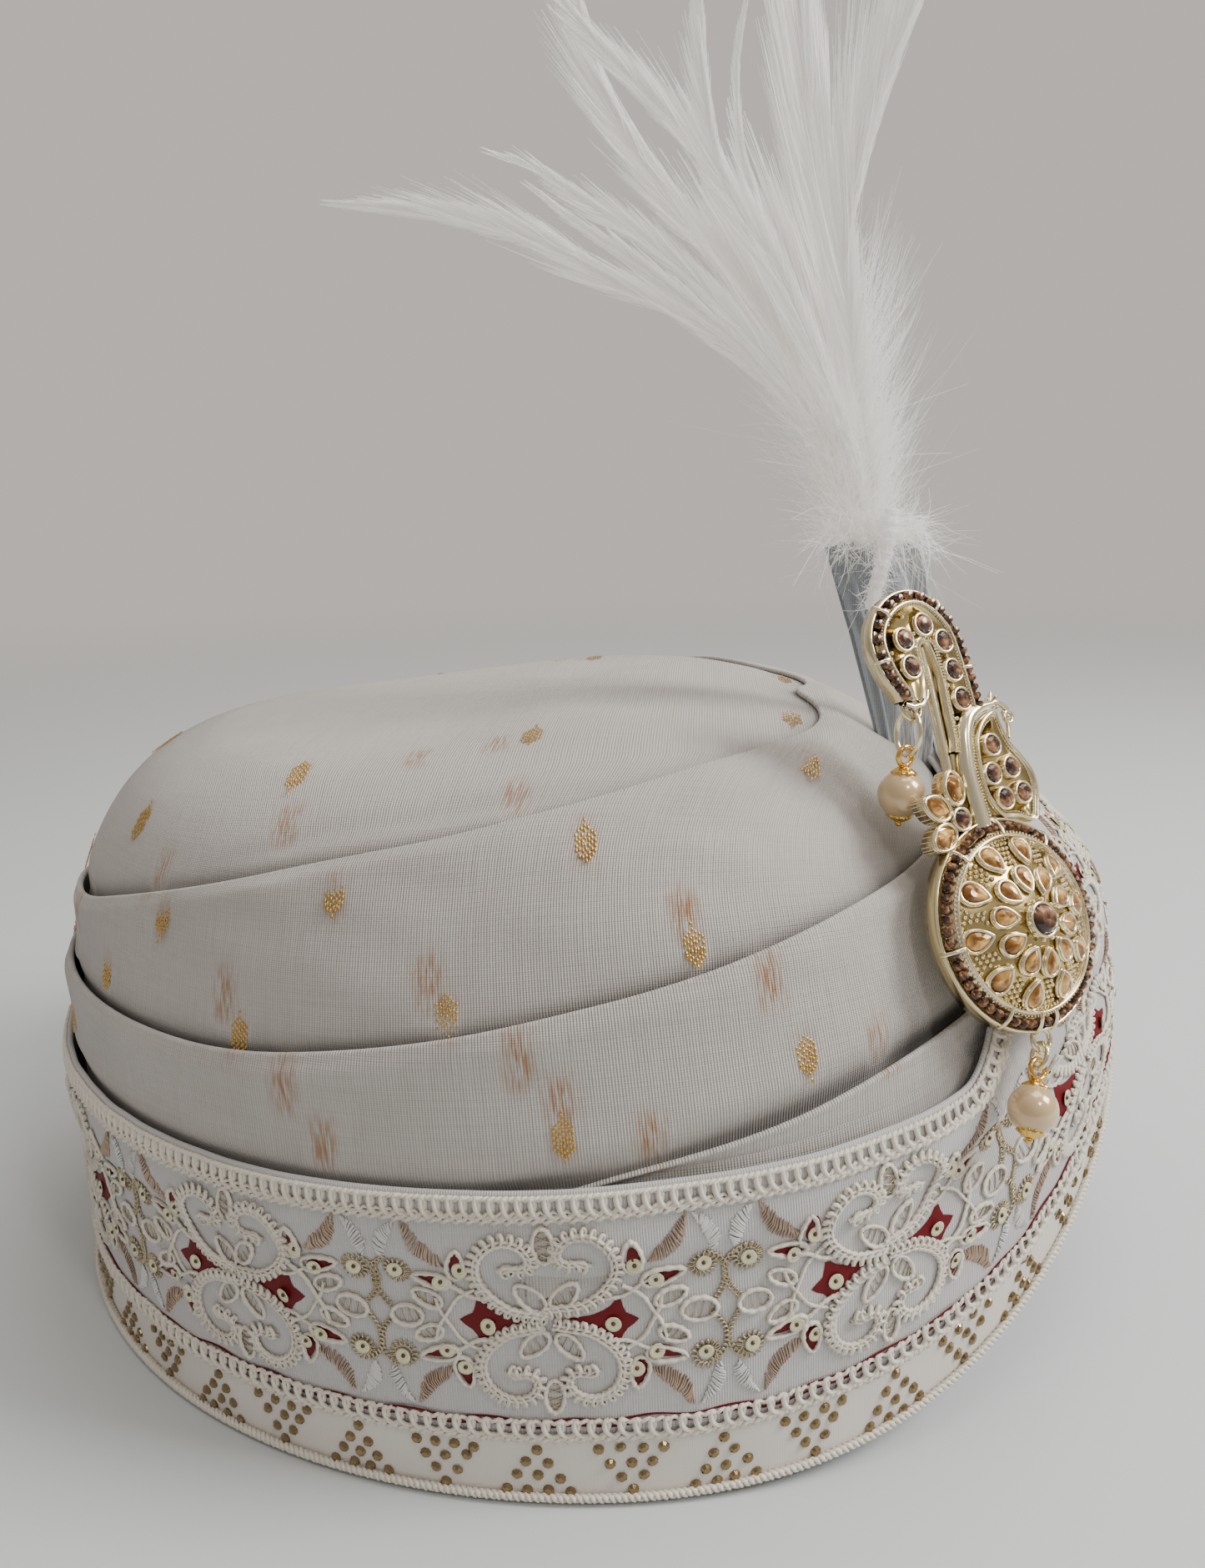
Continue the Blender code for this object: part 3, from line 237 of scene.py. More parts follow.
def up_at(height):
    """The angle up at a height above the rim, the inverse of height_at."""
    share = (np.asarray(height, float) - WALL_HEIGHT) / (BODY_HEIGHT - WALL_HEIGHT)
    curved = np.arcsin(np.clip(share, 0.0, 1.0) ** (CROWN_ROUNDING / 2.0))
    return np.where(share > 0.0, curved, share)


def wound_surface(around, up):
    """Point of the bare form: an ellipse that draws in towards the crown."""
    reach = np.cos(np.clip(up, 0.0, math.pi / 2)) ** (2.0 / CROWN_SQUARENESS)
    height = height_at(up)
    rise = np.clip(height / BODY_HEIGHT, 0.0, 1.0)
    front = np.cos(around) * reach
    x = -BODY_WIDTH / 2 * np.sin(around) * reach
    y = -BODY_LENGTH / 2 * front + CROWN_SHIFT * rise**2
    arch = FRONT_ARCH * np.clip(np.cos(around), 0.0, None) ** ARCH_NARROWNESS * (1.0 - rise)
    drop = FRONT_DROP * np.clip(front, 0.0, None) ** 2 - BACK_RISE * np.clip(-front, 0.0, None) ** 2
    z = height + arch + CROWN_TILT * front * rise - drop * rise**2
    return np.stack([x, y, z], axis=-1)


def front_tuck(around, up):
    """How far all layers sink at the front, under the embroidered wrap."""
    degrees = np.abs(folded(around))
    across = smooth((FRONT_TUCK_START - degrees) / (FRONT_TUCK_START - FRONT_TUCK_FULL))
    rising = smooth((up - math.radians(2)) / math.radians(9))
    fading = smooth((math.radians(88) - up) / math.radians(26))
    return 2.0 * STEP_OUT * across * rising * fading


def surface_frame(around, up):
    """Point, unit way up the slope, unit way along and outward normal of the surface."""
    step = 1e-4
    along = wound_surface(around + step, up) - wound_surface(around - step, up)
    rising = wound_surface(around, up + step) - wound_surface(around, up - step)
    normal = np.cross(rising, along)
    length = np.linalg.norm(normal, axis=-1, keepdims=True)
    normal = np.where(length > 1e-12, normal / np.maximum(length, 1e-12), np.array([0.0, 0.0, 1.0]))
    return wound_surface(around, up), unit(rising), unit(along), normal


def above_fold(around, up, fold):
    """Distance of a place above a fold straight across the bare form, less than 0 below it."""
    reach = np.linalg.norm(wound_surface(around, up) - wound_surface(around, fold), axis=-1)
    return np.sign(up - fold) * reach


def skin(around, up, lift, slide=0.0):
    """Point at a lift out from the surface and slid up its slope by a distance."""
    around, up, lift, slide = np.broadcast_arrays(around, up, lift, slide)
    point, rising, _, normal = surface_frame(around, up)
    out = lift - front_tuck(around, up)
    return point + normal * out[..., None] + rising * slide[..., None]


def fold_up(table, around):
    """Angle up of a fold line at each place around, the same on both sides, made soft.

    The table is read at five places near each one and the mean is taken.
    """
    rows = np.array(table, float)
    degrees = np.abs(folded(around))
    reads = [np.interp(np.abs(degrees + d), rows[:, 0], rows[:, 1]) for d in (-5.0, -2.5, 0.0, 2.5, 5.0)]
    return np.radians(np.mean(reads, axis=0))


RIM_TURNS = np.linspace(0.0, 2.0 * math.pi, 3601)
RIM_LINE = np.stack([-BODY_WIDTH / 2 * np.sin(RIM_TURNS), -BODY_LENGTH / 2 * np.cos(RIM_TURNS)], axis=-1)
RIM_REACH = np.concatenate([[0.0], np.cumsum(np.linalg.norm(np.diff(RIM_LINE, axis=0), axis=1))])
RIM_ROUND = RIM_REACH[-1]


def around_at(distance):
    """Place around at a distance along the rim from the front."""
    return np.interp(np.asarray(distance, float) % RIM_ROUND, RIM_REACH, RIM_TURNS)


def along_at(around):
    """Distance along the rim from the front, the inverse of around_at."""
    return np.interp(np.asarray(around, float) % (2.0 * math.pi), RIM_TURNS, RIM_REACH)


# Materials


def new_material(name, colour, roughness, metallic=0.0, **inputs):
    """Principled material and its nodes; more inputs go by their own names."""
    material = bpy.data.materials.new(name)
    material.use_nodes = True
    shader = material.node_tree.nodes["Principled BSDF"]
    shader.inputs["Base Color"].default_value = (*colour, 1.0)
    shader.inputs["Roughness"].default_value = roughness
    shader.inputs["Metallic"].default_value = metallic
    for key, value in inputs.items():
        shader.inputs[key.replace("_", " ")].default_value = value
    return material


def add_node(material, kind, links=(), **settings):
    """One shader node with its settings and (output, input) links into it."""
    node = material.node_tree.nodes.new(kind)
    for key, value in settings.items():
        setattr(node, key, value)
    for source, target in links:
        material.node_tree.links.new(source, node.inputs[target])
    return node


def math_node(material, operation, first, second=0.0):
    """Math node on two sockets or numbers; gives its output."""
    node = add_node(material, "ShaderNodeMath", operation=operation)
    for index, value in enumerate((first, second)):
        if isinstance(value, (int, float)):
            node.inputs[index].default_value = value
        else:
            material.node_tree.links.new(value, node.inputs[index])
    return node.outputs[0]


def noise_on(material, source, stretch, scale, detail=2.0):
    """Noise over stretched coordinates; gives its value from 0 to 1."""
    mapping = add_node(material, "ShaderNodeMapping", [(source, "Vector")])
    mapping.inputs["Scale"].default_value = stretch
    noise = add_node(material, "ShaderNodeTexNoise", [(mapping.outputs[0], "Vector")])
    noise.inputs["Scale"].default_value = scale
    noise.inputs["Detail"].default_value = detail
    return noise.outputs[0]


def mix_colour(material, factor, first, second, blend="MIX"):
    """Colour mix node of two colours or sockets; gives its output."""
    node = add_node(material, "ShaderNodeMix", data_type="RGBA", blend_type=blend)
    for slot, value in ((0, factor), (6, first), (7, second)):
        if isinstance(value, (int, float)):
            node.inputs[slot].default_value = value
        elif isinstance(value, tuple):
            node.inputs[slot].default_value = (*value, 1.0)
        else:
            material.node_tree.links.new(value, node.inputs[slot])
    return node.outputs[2]


def woven(name, colour, dark, thread, streak, bump, stain=None):
    """Cloth with warp and weft threads, streaks along both, brown stains and painted shade.

    The threads are sines of the cloth's own coordinates in metres, and the streaks
    are noise that is drawn out along one thread direction. A tint above 0 mixes in
    the last colour, and a tint below 0 is painted shade towards a near-black grey.
    """
    material = new_material(name, colour, 0.8, Sheen_Weight=0.25, Sheen_Roughness=0.4)
    shader = material.node_tree.nodes["Principled BSDF"]
    uv = add_node(material, "ShaderNodeUVMap", uv_map="UVMap").outputs[0]
    parts = add_node(material, "ShaderNodeSeparateXYZ", [(uv, "Vector")])
    warp = math_node(material, "SINE", math_node(material, "MULTIPLY", parts.outputs[0], 2.0 * math.pi / thread))
    weft = math_node(material, "SINE", math_node(material, "MULTIPLY", parts.outputs[1], 2.0 * math.pi / thread))
    warp_streak = noise_on(material, uv, (1.0, 0.02, 1.0), 1.2 / thread, 3.0)
    weft_streak = noise_on(material, uv, (0.02, 1.0, 1.0), 1.2 / thread, 3.0)
    cloud = noise_on(material, uv, (1.0, 1.0, 1.0), 40.0, 2.0)
    weave = math_node(material, "ADD", math_node(material, "MULTIPLY", warp, 1.4), math_node(material, "MULTIPLY", weft, 0.45))
    weave = math_node(material, "MULTIPLY", weave, 0.19)
    streaks = math_node(material, "ADD", warp_streak, weft_streak)
    shade = math_node(material, "ADD", math_node(material, "MULTIPLY", streaks, streak), weave)
    shade = math_node(material, "ADD", shade, math_node(material, "MULTIPLY", cloud, 0.35))
    shade = math_node(material, "ADD", shade, 0.33 - streak)
    base = mix_colour(material, shade, dark, colour)
    if stain is not None:
        amount = add_node(material, "ShaderNodeAttribute", attribute_name="tint").outputs["Fac"]
        dash = noise_on(material, uv, (1.0, 0.08, 1.0), 1.0 / thread, 2.0)
        grain = math_node(material, "MULTIPLY", math_node(material, "ADD", dash, -0.40), 5.0)
        grain = add_node(material, "ShaderNodeClamp", [(grain, "Value")]).outputs[0]
        # painted shade: a tint below 0, from crease_shade, darkens the cloth towards near-black grey
        shadow = add_node(material, "ShaderNodeClamp", [(math_node(material, "MULTIPLY", amount, -0.75), "Value")]).outputs[0]
        base = mix_colour(material, shadow, base, (0.13, 0.12, 0.115))
        amount = math_node(material, "MULTIPLY", add_node(material, "ShaderNodeClamp", [(amount, "Value")]).outputs[0], grain)
        base = mix_colour(material, amount, base, stain)
    material.node_tree.links.new(base, shader.inputs["Base Color"])
    height = math_node(material, "ADD", weave, math_node(material, "MULTIPLY", streaks, 0.5))
    bumps = add_node(material, "ShaderNodeBump", [(height, "Height")])
    bumps.inputs["Strength"].default_value = bump
    bumps.inputs["Distance"].default_value = 0.0004
    material.node_tree.links.new(bumps.outputs[0], shader.inputs["Normal"])
    return material


def see_through_hair(name, colour):
    """Fine white hair: a third of its light passes through, and a faint emission, painted light, makes it a little
    brighter.
    """
    material = new_material(name, colour, 0.7, Sheen_Weight=0.3)
    nodes = material.node_tree.nodes
    through = add_node(material, "ShaderNodeBsdfTranslucent")
    through.inputs["Color"].default_value = (*colour, 1.0)
    both = add_node(material, "ShaderNodeMixShader", [(nodes["Principled BSDF"].outputs[0], 1), (through.outputs[0], 2)])
    both.inputs[0].default_value = 0.35
    # painted light: a faint warm white emission that brightens the hair
    nodes["Principled BSDF"].inputs["Emission Color"].default_value = (1.0, 0.95, 0.89, 1.0)
    nodes["Principled BSDF"].inputs["Emission Strength"].default_value = 0.12
    material.node_tree.links.new(both.outputs[0], nodes["Material Output"].inputs["Surface"])
    return material


def tinted(name, first, second, power, roughness, metallic, **inputs):
    """Smooth material whose colour goes from the first to the second with tint ** power."""
    # on the brooch's metal the tint is painted shade, and on the cut stones it is painted glints
    material = new_material(name, second, roughness, metallic, **inputs)
    amount = add_node(material, "ShaderNodeAttribute", attribute_name="tint").outputs["Fac"]
    amount = math_node(material, "POWER", amount, power)
    colour = mix_colour(material, amount, first, second)
    material.node_tree.links.new(colour, material.node_tree.nodes["Principled BSDF"].inputs["Base Color"])
    return material


CROWN_CLOTH = woven("crown_cloth", (0.62, 0.585, 0.55), (0.38, 0.35, 0.32), 0.00058, 0.55, 0.7, (0.36, 0.19, 0.09))
BORDER_CLOTH = woven("border_cloth", (0.62, 0.605, 0.60), (0.46, 0.445, 0.44), 0.00050, 0.45, 0.45)
SATIN = woven("satin", (0.75, 0.71, 0.65), (0.67, 0.63, 0.57), 0.00035, 0.30, 0.15)
IVORY = new_material("ivory_cord", (0.78, 0.72, 0.62), 0.75, Sheen_Weight=0.3)
WHITE_THREAD = new_material("white_thread", (0.78, 0.77, 0.75), 0.5, Sheen_Weight=0.3)
MAROON = new_material("maroon_thread", (0.135, 0.003, 0.006), 0.6, Specular_IOR_Level=0.25)
ROSE_GOLD = new_material("rose_gold_thread", (0.52, 0.37, 0.27), 0.34, 0.7)
GOLD_THREAD = new_material("gold_thread", (0.60, 0.50, 0.33), 0.34, 0.7)
SPRIG_GOLD = new_material("sprig_gold", (0.66, 0.40, 0.10), 0.26, 0.9)
SEQUIN = new_material("sequin", (0.70, 0.66, 0.42), 0.22, 0.25, Coat_Weight=0.6)
BEAD = new_material("bead", (0.10, 0.06, 0.03), 0.2, 0.4)
RIM_STONE = new_material("rim_stone", (0.25, 0.17, 0.075), 0.16, 0.85, Coat_Weight=0.6)
# pale gold that the tint darkens towards olive brown: painted shade in the channels and on the dome's ground
PALE_GOLD = tinted("pale_gold", (0.90, 0.80, 0.56), (0.56, 0.44, 0.20), 1.0, 0.17, 1.0)
BRIGHT_GOLD = new_material("bright_gold", (0.80, 0.50, 0.14), 0.18, 1.0)
# cut stones whose colour goes from dark to light facet by facet with the tint: painted glints
BROWN_STONE = tinted("brown_stone", (0.035, 0.012, 0.008), (0.52, 0.25, 0.12), 2.6, 0.10, 0.2, Coat_Weight=0.5)
AMBER_STONE = tinted("amber_stone", (0.20, 0.07, 0.006), (0.95, 0.56, 0.17), 1.7, 0.10, 0.2, Coat_Weight=0.4)
PEARL_COAT = new_material("pearl", (0.66, 0.47, 0.26), 0.20, 0.25, Coat_Weight=1.0, Coat_Roughness=0.06)
FEATHER = see_through_hair("feather", (0.97, 0.96, 0.945))
# the last colour is the paler grey that the sleeve's tint mixes in
SLEEVE = woven("sleeve_cloth", (0.36, 0.395, 0.43), (0.21, 0.24, 0.27), 0.00045, 0.45, 0.2, (0.74, 0.735, 0.73))
LINING = woven("lining", (0.62, 0.60, 0.57), (0.50, 0.48, 0.45), 0.00080, 0.40, 0.3)


# Cloth layers


def over_top(up):
    """Share of the way from the wall, 0, to the crown's level middle, 1."""
    return smooth((0.96 - np.cos(np.clip(up, 0.0, math.pi / 2)) ** (2.0 / CROWN_SQUARENESS)) / 0.34)


def cloth_frame(around, up):
    """Surface frame whose rising way follows the warp threads: straight across the crown."""
    point, rising, _, normal = surface_frame(around, up)
    across = np.stack(np.broadcast_arrays(np.sign(np.sin(around)), 0.0, 0.0), axis=-1)
    across = unit(across - normal * np.sum(across * normal, axis=-1, keepdims=True))
    share = np.asarray(over_top(up))[..., None]
    rising = unit(rising * (1.0 - share) + across * share)
    return point, rising, np.cross(normal, rising), normal


def cloth_uv(around, up):
    """The cloth's own coordinates in metres, running straight over the crown.

    On the wall they are the distance along the rim and the height; towards the
    crown's centre they ease to the distance along and the distance across.
    """
    around, up = np.broadcast_arrays(around, up)
    degrees = np.abs(folded(around))
    bare = wound_surface(around, up)
    share = np.cos(np.clip(up, 0.0, math.pi / 2)) ** (2.0 / CROWN_SQUARENESS)
    flat = over_top(up)
    along = along_at(np.radians(degrees)) - along_at(math.pi / 2)
    across = BODY_WIDTH / 2 - np.abs(bare[..., 0])
    u = along * (1.0 - flat) + bare[..., 1] * flat
    v = 1.15 * height_at(up) + (1.0 - share) * BODY_WIDTH / 2 * (1.0 - flat) + across * flat
    return np.stack([u, v], axis=-1)


# Gold sprigs woven into the crown cloth: around, height in mm
SPRIGS = (
    (122, 130.2), (142.5, 118), (86.5, 133.4), (28.5, 133.0), (47, 128.7), (106, 113.5), (127.5, 105.5),
    (81, 119.5), (73, 102.5), (95, 94.5), (115.5, 88), (86, 73), (65, 81.5), (160, 103), (166, 80),
    (172, 125), (150, 72), (138, 90),
)

# Brown marks that show through from the layer beneath: around, height in mm
STAINS = (
    (117.5, 94.8), (109.8, 81.5), (96.5, 99.8), (89.0, 86.9), (86.0, 78.5), (79.0, 71.0), (116.0, 124.0), (88.0, 127.3),
    (73.2, 107.9), (106.5, 70.8), (67.2, 95.8), (57.5, 79.5), (93.0, 133.2), (106.0, 132.6), (132.0, 112.0), (150.0, 96.0),
)


def stain_amount(around, up):
    """Strength of the brown marks: upright soft boxes about each mark, on both sides.

    A box is exp(-x**4 - y**4) of the distances along and up the cloth from the
    mark, and a fainter one lies about every gold sprig.
    """
    points = wound_surface(around, up)
    total = np.zeros(points.shape[:-1])
    marks = [(degrees, mark, 2.7, 5.6, 1.0) for degrees, mark in STAINS]
    marks += [(degrees, mark, 2.4, 5.0, 0.6) for degrees, mark in SPRIGS]
    for degrees, mark, wide, tall, strength in marks:
        for side in (1.0, -1.0):
            middle, rising, along, _ = cloth_frame(np.array(math.radians(degrees) * side), up_at(mark * MM))
            gap = (points - middle) / MM
            box = np.exp(-((gap @ along / wide) ** 4) - (gap @ rising / tall) ** 4)
            near = np.linalg.norm(gap, axis=-1) < 3.0 * tall
            total = np.maximum(total, strength * box * near)
    return total


def crease_shade(distance):
    """Shade of the cloth just above a fold that lies on it: -exp(-distance / 2.6 mm)."""
    return -np.exp(-np.abs(distance) / (2.6 * MM))


def ring_grid(columns):
    """Places around for one full turn."""
    return np.arange(columns) * (2.0 * math.pi / columns)


def crown_wrinkles(around, up):
    """Soft creases of the crown: a ridge above the upper fold and slow waves."""
    degrees = np.abs(folded(around))
    line = np.interp(degrees, (60, 80, 94, 110, 124), (118.0, 127.6, 127.8, 125.0, 117.0))
    height = height_at(up) / MM
    shelf = smooth((height - line + 1.6) / 3.2) - 1.0
    fade = smooth((degrees - 66.0) / 16.0) * smooth((126.0 - degrees) / 14.0)
    return 0.9 * MM * shelf * fade * smooth((height - line + 9.0) / 8.0) + 0.35 * MM * waves(around, up, 5, 7, 9, 6.0)


def build_crown():
    """Crown cloth: a grid from under the upper fold to the crown's centre.

    A row lies at a share of the reach that the fold has, so rows crowd evenly
    over the shoulder; the last row is one point.
    """
    around = ring_grid(440)
    fold = fold_up(UPPER_FOLD, around)
    low = fold - 0.9 * TUCK_UP
    reach = np.cos(low) ** (2.0 / CROWN_SQUARENESS)
    share = 1.0 - np.linspace(0.0, 1.0, 62) ** 1.5
    share[-1] = 1e-4
    up = np.arccos(np.clip((share[:, None] * reach) ** (CROWN_SQUARENESS / 2.0), 0.0, 1.0))
    turn = np.broadcast_to(around, up.shape)
    away = above_fold(turn, up, np.broadcast_to(fold, up.shape))
    firm = smooth((math.radians(70) - fold) / math.radians(8))
    valley = (0.35 - 1.5 * firm) * MM * np.exp(-((np.maximum(away, 0.0) / (2.2 * MM)) ** 2))
    lift = crown_wrinkles(turn, up) * smooth(away / (9.0 * MM)) + valley
    lift = lift * smooth(share[:, None] / 0.4)
    # brown stains above the fold, plus painted shade near the fold line
    tint = stain_amount(turn, up) * (away > 0.0) + crease_shade(away)
    points = skin(turn, up, lift)
    crown = mesh_object(
        "crown", points, grid_quads(len(share), 440, False, True), CROWN_CLOTH, cloth_uv(turn, up), tint,
    )
    return crown


def pleat_profile(top, cover, sink, crest, roll, rows):
    """Rows of a pleat from inside its rolled fold, over the fold and down.

    Gives up, lift and slide. Three rows run inside, seven go round the roll, and
    the rest spread down to the tuck under the next pleat.
    """
    inside = np.array([2.2, 1.2, 0.4])[:, None]
    ups = [top - inside * TUCK_UP]
    lifts = [np.broadcast_to(crest - 2.0 * roll, inside.shape[:1] + top.shape)]
    slides = [np.zeros(inside.shape[:1] + top.shape)]
    turn = np.linspace(math.pi, 0.0, 7)[:, None]
    ups.append(np.broadcast_to(top, (7,) + top.shape))
    lifts.append(crest - roll + roll * np.cos(turn) + np.zeros_like(top))
    slides.append(roll * np.sin(turn) + np.zeros_like(top))
    share = np.linspace(0.0, 1.0, rows + 1)[1:, None] ** 1.15
    up = top + (cover - TUCK_UP - top) * share
    slope = crest * np.clip((up - cover) / np.maximum(top - cover, 1e-6), 0.0, 1.0)
    ups.append(up)
    lifts.append(slope - STEP_OUT * smooth((cover + 0.45 * TUCK_UP - up) / TUCK_UP) - sink(up))
    slides.append(np.zeros_like(up))
    return np.concatenate(ups), np.concatenate(lifts), np.concatenate(slides)


def pleat_waves(around, up, top, cover, seed):
    """Unevenness of a pleat: a full crest under its fold and slow waves below it."""
    middle = smooth((top - up) / (0.6 * TUCK_UP)) * smooth((up - cover) / (0.8 * TUCK_UP))
    puff = 0.9 * MM * np.exp(-(((top - up) / (1.1 * TUCK_UP)) ** 2)) * smooth((top - up) / (0.5 * TUCK_UP))
    ripple = 0.45 * MM * waves(around, up, seed, 8, 13, 9.0) + 0.16 * MM * waves(around, up, seed + 1, 9, 30, 40.0)
    return middle * ripple + puff


def build_pleat(name, top_table, next_table, seed, sinks):
    """Pleat between its own fold and the next, with slow waves and a soft crest."""
    around = ring_grid(480)
    top = fold_up(top_table, around)
    lace = float(up_at(UPPER_LACE_TOP))
    cover = np.maximum(fold_up(next_table, around), lace)
    lower = fold_up(LOWER_FOLD, around)

    def sink(up):
        beneath = smooth((lower + TUCK_UP - up) / TUCK_UP) * smooth((lower - lace + TUCK_UP) / (0.5 * TUCK_UP))
        return STEP_OUT * beneath * sinks

    up, lift, slide = pleat_profile(top, cover, sink, STEP_OUT, 0.72 * MM, 26)
    turn = np.broadcast_to(around, up.shape)
    lift = lift + pleat_waves(turn, up, top, cover, seed)
    points = skin(turn, up, lift, slide)
    away = above_fold(turn, up, np.broadcast_to(cover, up.shape))
    # strength of the painted shade near the next fold: full above the lace's top, a quarter at it
    depth = 0.25 + 0.75 * smooth((cover - lace) / TUCK_UP)
    tint = stain_amount(turn, up) + depth * crease_shade(away)
    return mesh_object(name, points, grid_quads(len(up), 480, False, True), CROWN_CLOTH, cloth_uv(turn, up), tint)


def build_lower_pleat(name, side):
    """Sliver of a pleat that comes out from under the lace towards the front."""
    around = np.radians(np.linspace(LOWER_FOLD_START, LOWER_FOLD_END + 4, 140)) * side
    lace = float(up_at(UPPER_LACE_TOP))
    fold = fold_up(LOWER_FOLD, around)
    top = np.maximum(fold, lace - TUCK_UP / 2)
    cover = np.full_like(top, lace)
    rise = smooth((fold - lace) / TUCK_UP)

    def sink(up):
        return SEAT_GAP * np.ones_like(up)

    up, lift, slide = pleat_profile(top, cover, sink, STEP_OUT, 0.72 * MM, 14)
    lift = lift - (1.0 - rise) * STEP_OUT * smooth((up - lace + TUCK_UP) / TUCK_UP)
    turn = np.broadcast_to(around, up.shape)
    lift = lift + 0.2 * MM * rise * smooth((top - up) / TUCK_UP) * waves(turn, up, 21, 6, 25, 12.0)
    points = skin(turn, up, lift, slide)
    # brown stains, plus a faint painted shade near the lace's top
    tint = stain_amount(turn, up) + 0.25 * crease_shade(above_fold(turn, up, np.broadcast_to(cover, up.shape)))
    return mesh_object(name, points, grid_quads(len(up), len(around)), CROWN_CLOTH, cloth_uv(turn, up), tint)


def wrap_top(around):
    """Angle up of the embroidered cloth's top line, the table read softly."""
    rows = np.array(WRAP_TOP, float)
    degrees = folded(around)
    reads = [np.interp(degrees + d, rows[:, 0], rows[:, 1]) for d in (-2.0, -1.0, 0.0, 1.0, 2.0)]
    return np.radians(np.mean(reads, axis=0))


def in_front(around, margin=0.0):
    """1 where the embroidered cloth rises over the front, easing to 0 beside it."""
    degrees = folded(around)
    outside = np.maximum(degrees - 50.8 - margin, -80.8 - margin - degrees)
    return smooth(1.0 - outside / 12.0)


def border_lift(around, up):
    """Lift of the embroidered cloth: proud of the pleats, level at the rim."""
    proud = smooth((up - (up_at(UPPER_LACE_TOP) - 2.4 * TUCK_UP)) / (1.2 * TUCK_UP))
    return (STEP_OUT + (STEP_OUT + SEAT_GAP) * in_front(around)) * proud


def border_waves(around, up):
    """Slight unevenness of the embroidered cloth, none at the rim."""
    settled = smooth((up - RIM_UP) / 0.1)
    return settled * (0.16 * MM * waves(around, up, 31, 8, 26, 9.0) + 0.07 * MM * waves(around, up, 33, 9, 70, 30.0))


def build_border():
    """Embroidered cloth from the rim to its top line, with a turned-in top edge."""
    around = ring_grid(500)
    top = wrap_top(around)
    share = np.linspace(0.0, 1.0, 46)[:, None]
    up = RIM_UP + (top - RIM_UP) * share
    turn = np.broadcast_to(around, up.shape)
    lift = border_lift(turn, up) + border_waves(turn, up)
    slide = np.zeros_like(up)
    roll = 0.6 * MM
    bend = np.linspace(0.0, math.pi, 7)[1:, None]
    edge_lift = lift[-1] - roll + roll * np.cos(bend)
    edge_slide = roll * np.sin(bend) + np.zeros_like(top)
    inside = np.array([0.5, 1.5])[:, None]
    up = np.concatenate([up, np.broadcast_to(top, (6,) + top.shape), top - inside * TUCK_UP])
    lift = np.concatenate([lift, edge_lift, np.broadcast_to(edge_lift[-1], (2,) + top.shape)])
    slide = np.concatenate([slide, edge_slide, np.zeros((2,) + top.shape)])
    turn = np.broadcast_to(around, up.shape)
    points = skin(turn, up, lift, slide)
    return mesh_object("border", points, grid_quads(len(up), 500, False, True), BORDER_CLOTH, cloth_uv(turn, up))


def build_lining():
    """Underside and inside: from the rim's outer edge in, up the wall and over."""
    around = ring_grid(160)
    arch = FRONT_ARCH * np.clip(np.cos(around), 0.0, None) ** ARCH_NARROWNESS
    outer = skin(around, np.full_like(around, RIM_UP), np.full_like(around, -0.2 * MM))
    inner = np.stack([-HEAD_WIDTH / 2 * np.sin(around), -HEAD_LENGTH / 2 * np.cos(around), arch], axis=-1)
    rows = [outer + (inner - outer) * share for share in (0.0, 0.06, 0.3, 0.6, 0.9, 1.0)]
    rows = [row + np.array([0.0, 0.0, 0.0001]) for row in rows]
    for share in (0.04, 0.2, 0.4, 0.6, 0.8):
        low = inner.copy()
        low[:, 2] = arch + (HEAD_WALL - arch) * share
        rows.append(low)
    for lean in np.radians((0, 10, 20, 30, 40, 50, 60, 68, 75, 81, 86, 89.99)):
        reach = math.cos(lean) ** (2.0 / HEAD_ROUNDING)
        height = HEAD_WALL + (HEAD_DEPTH - HEAD_WALL) * math.sin(lean)
        x = -HEAD_WIDTH / 2 * np.sin(around) * reach
        y = -HEAD_LENGTH / 2 * np.cos(around) * reach
        rows.append(np.stack([x, y, np.full_like(around, height)], axis=-1))
    grid = np.array(rows)
    uv = np.stack([np.broadcast_to(along_at(around), grid.shape[:2]), grid[..., 2] * 1.2], axis=-1)
    return mesh_object("lining", grid, grid_quads(len(grid), 160, False, True), LINING, uv)


# Drawing on the cloth


def border_frame(along, height, out):
    """Point and outward normal on the embroidered cloth, at a lift off it."""
    around = around_at(along)
    up = up_at(height)
    lift = border_lift(around, up) + border_waves(around, up) + out
    point, _, _, normal = surface_frame(around, up)
    return point + normal * (lift - front_tuck(around, up))[..., None], normal


def lay_wires(flat, out, radius, sides=3, closed=False):
    """Wires on the embroidered cloth from flat paths of (along, height) points."""
    out = np.broadcast_to(out, flat.shape[:2])
    points, normals = border_frame(flat[..., 0], flat[..., 1], out)
    return tubes(points, normals, radius, sides, closed)


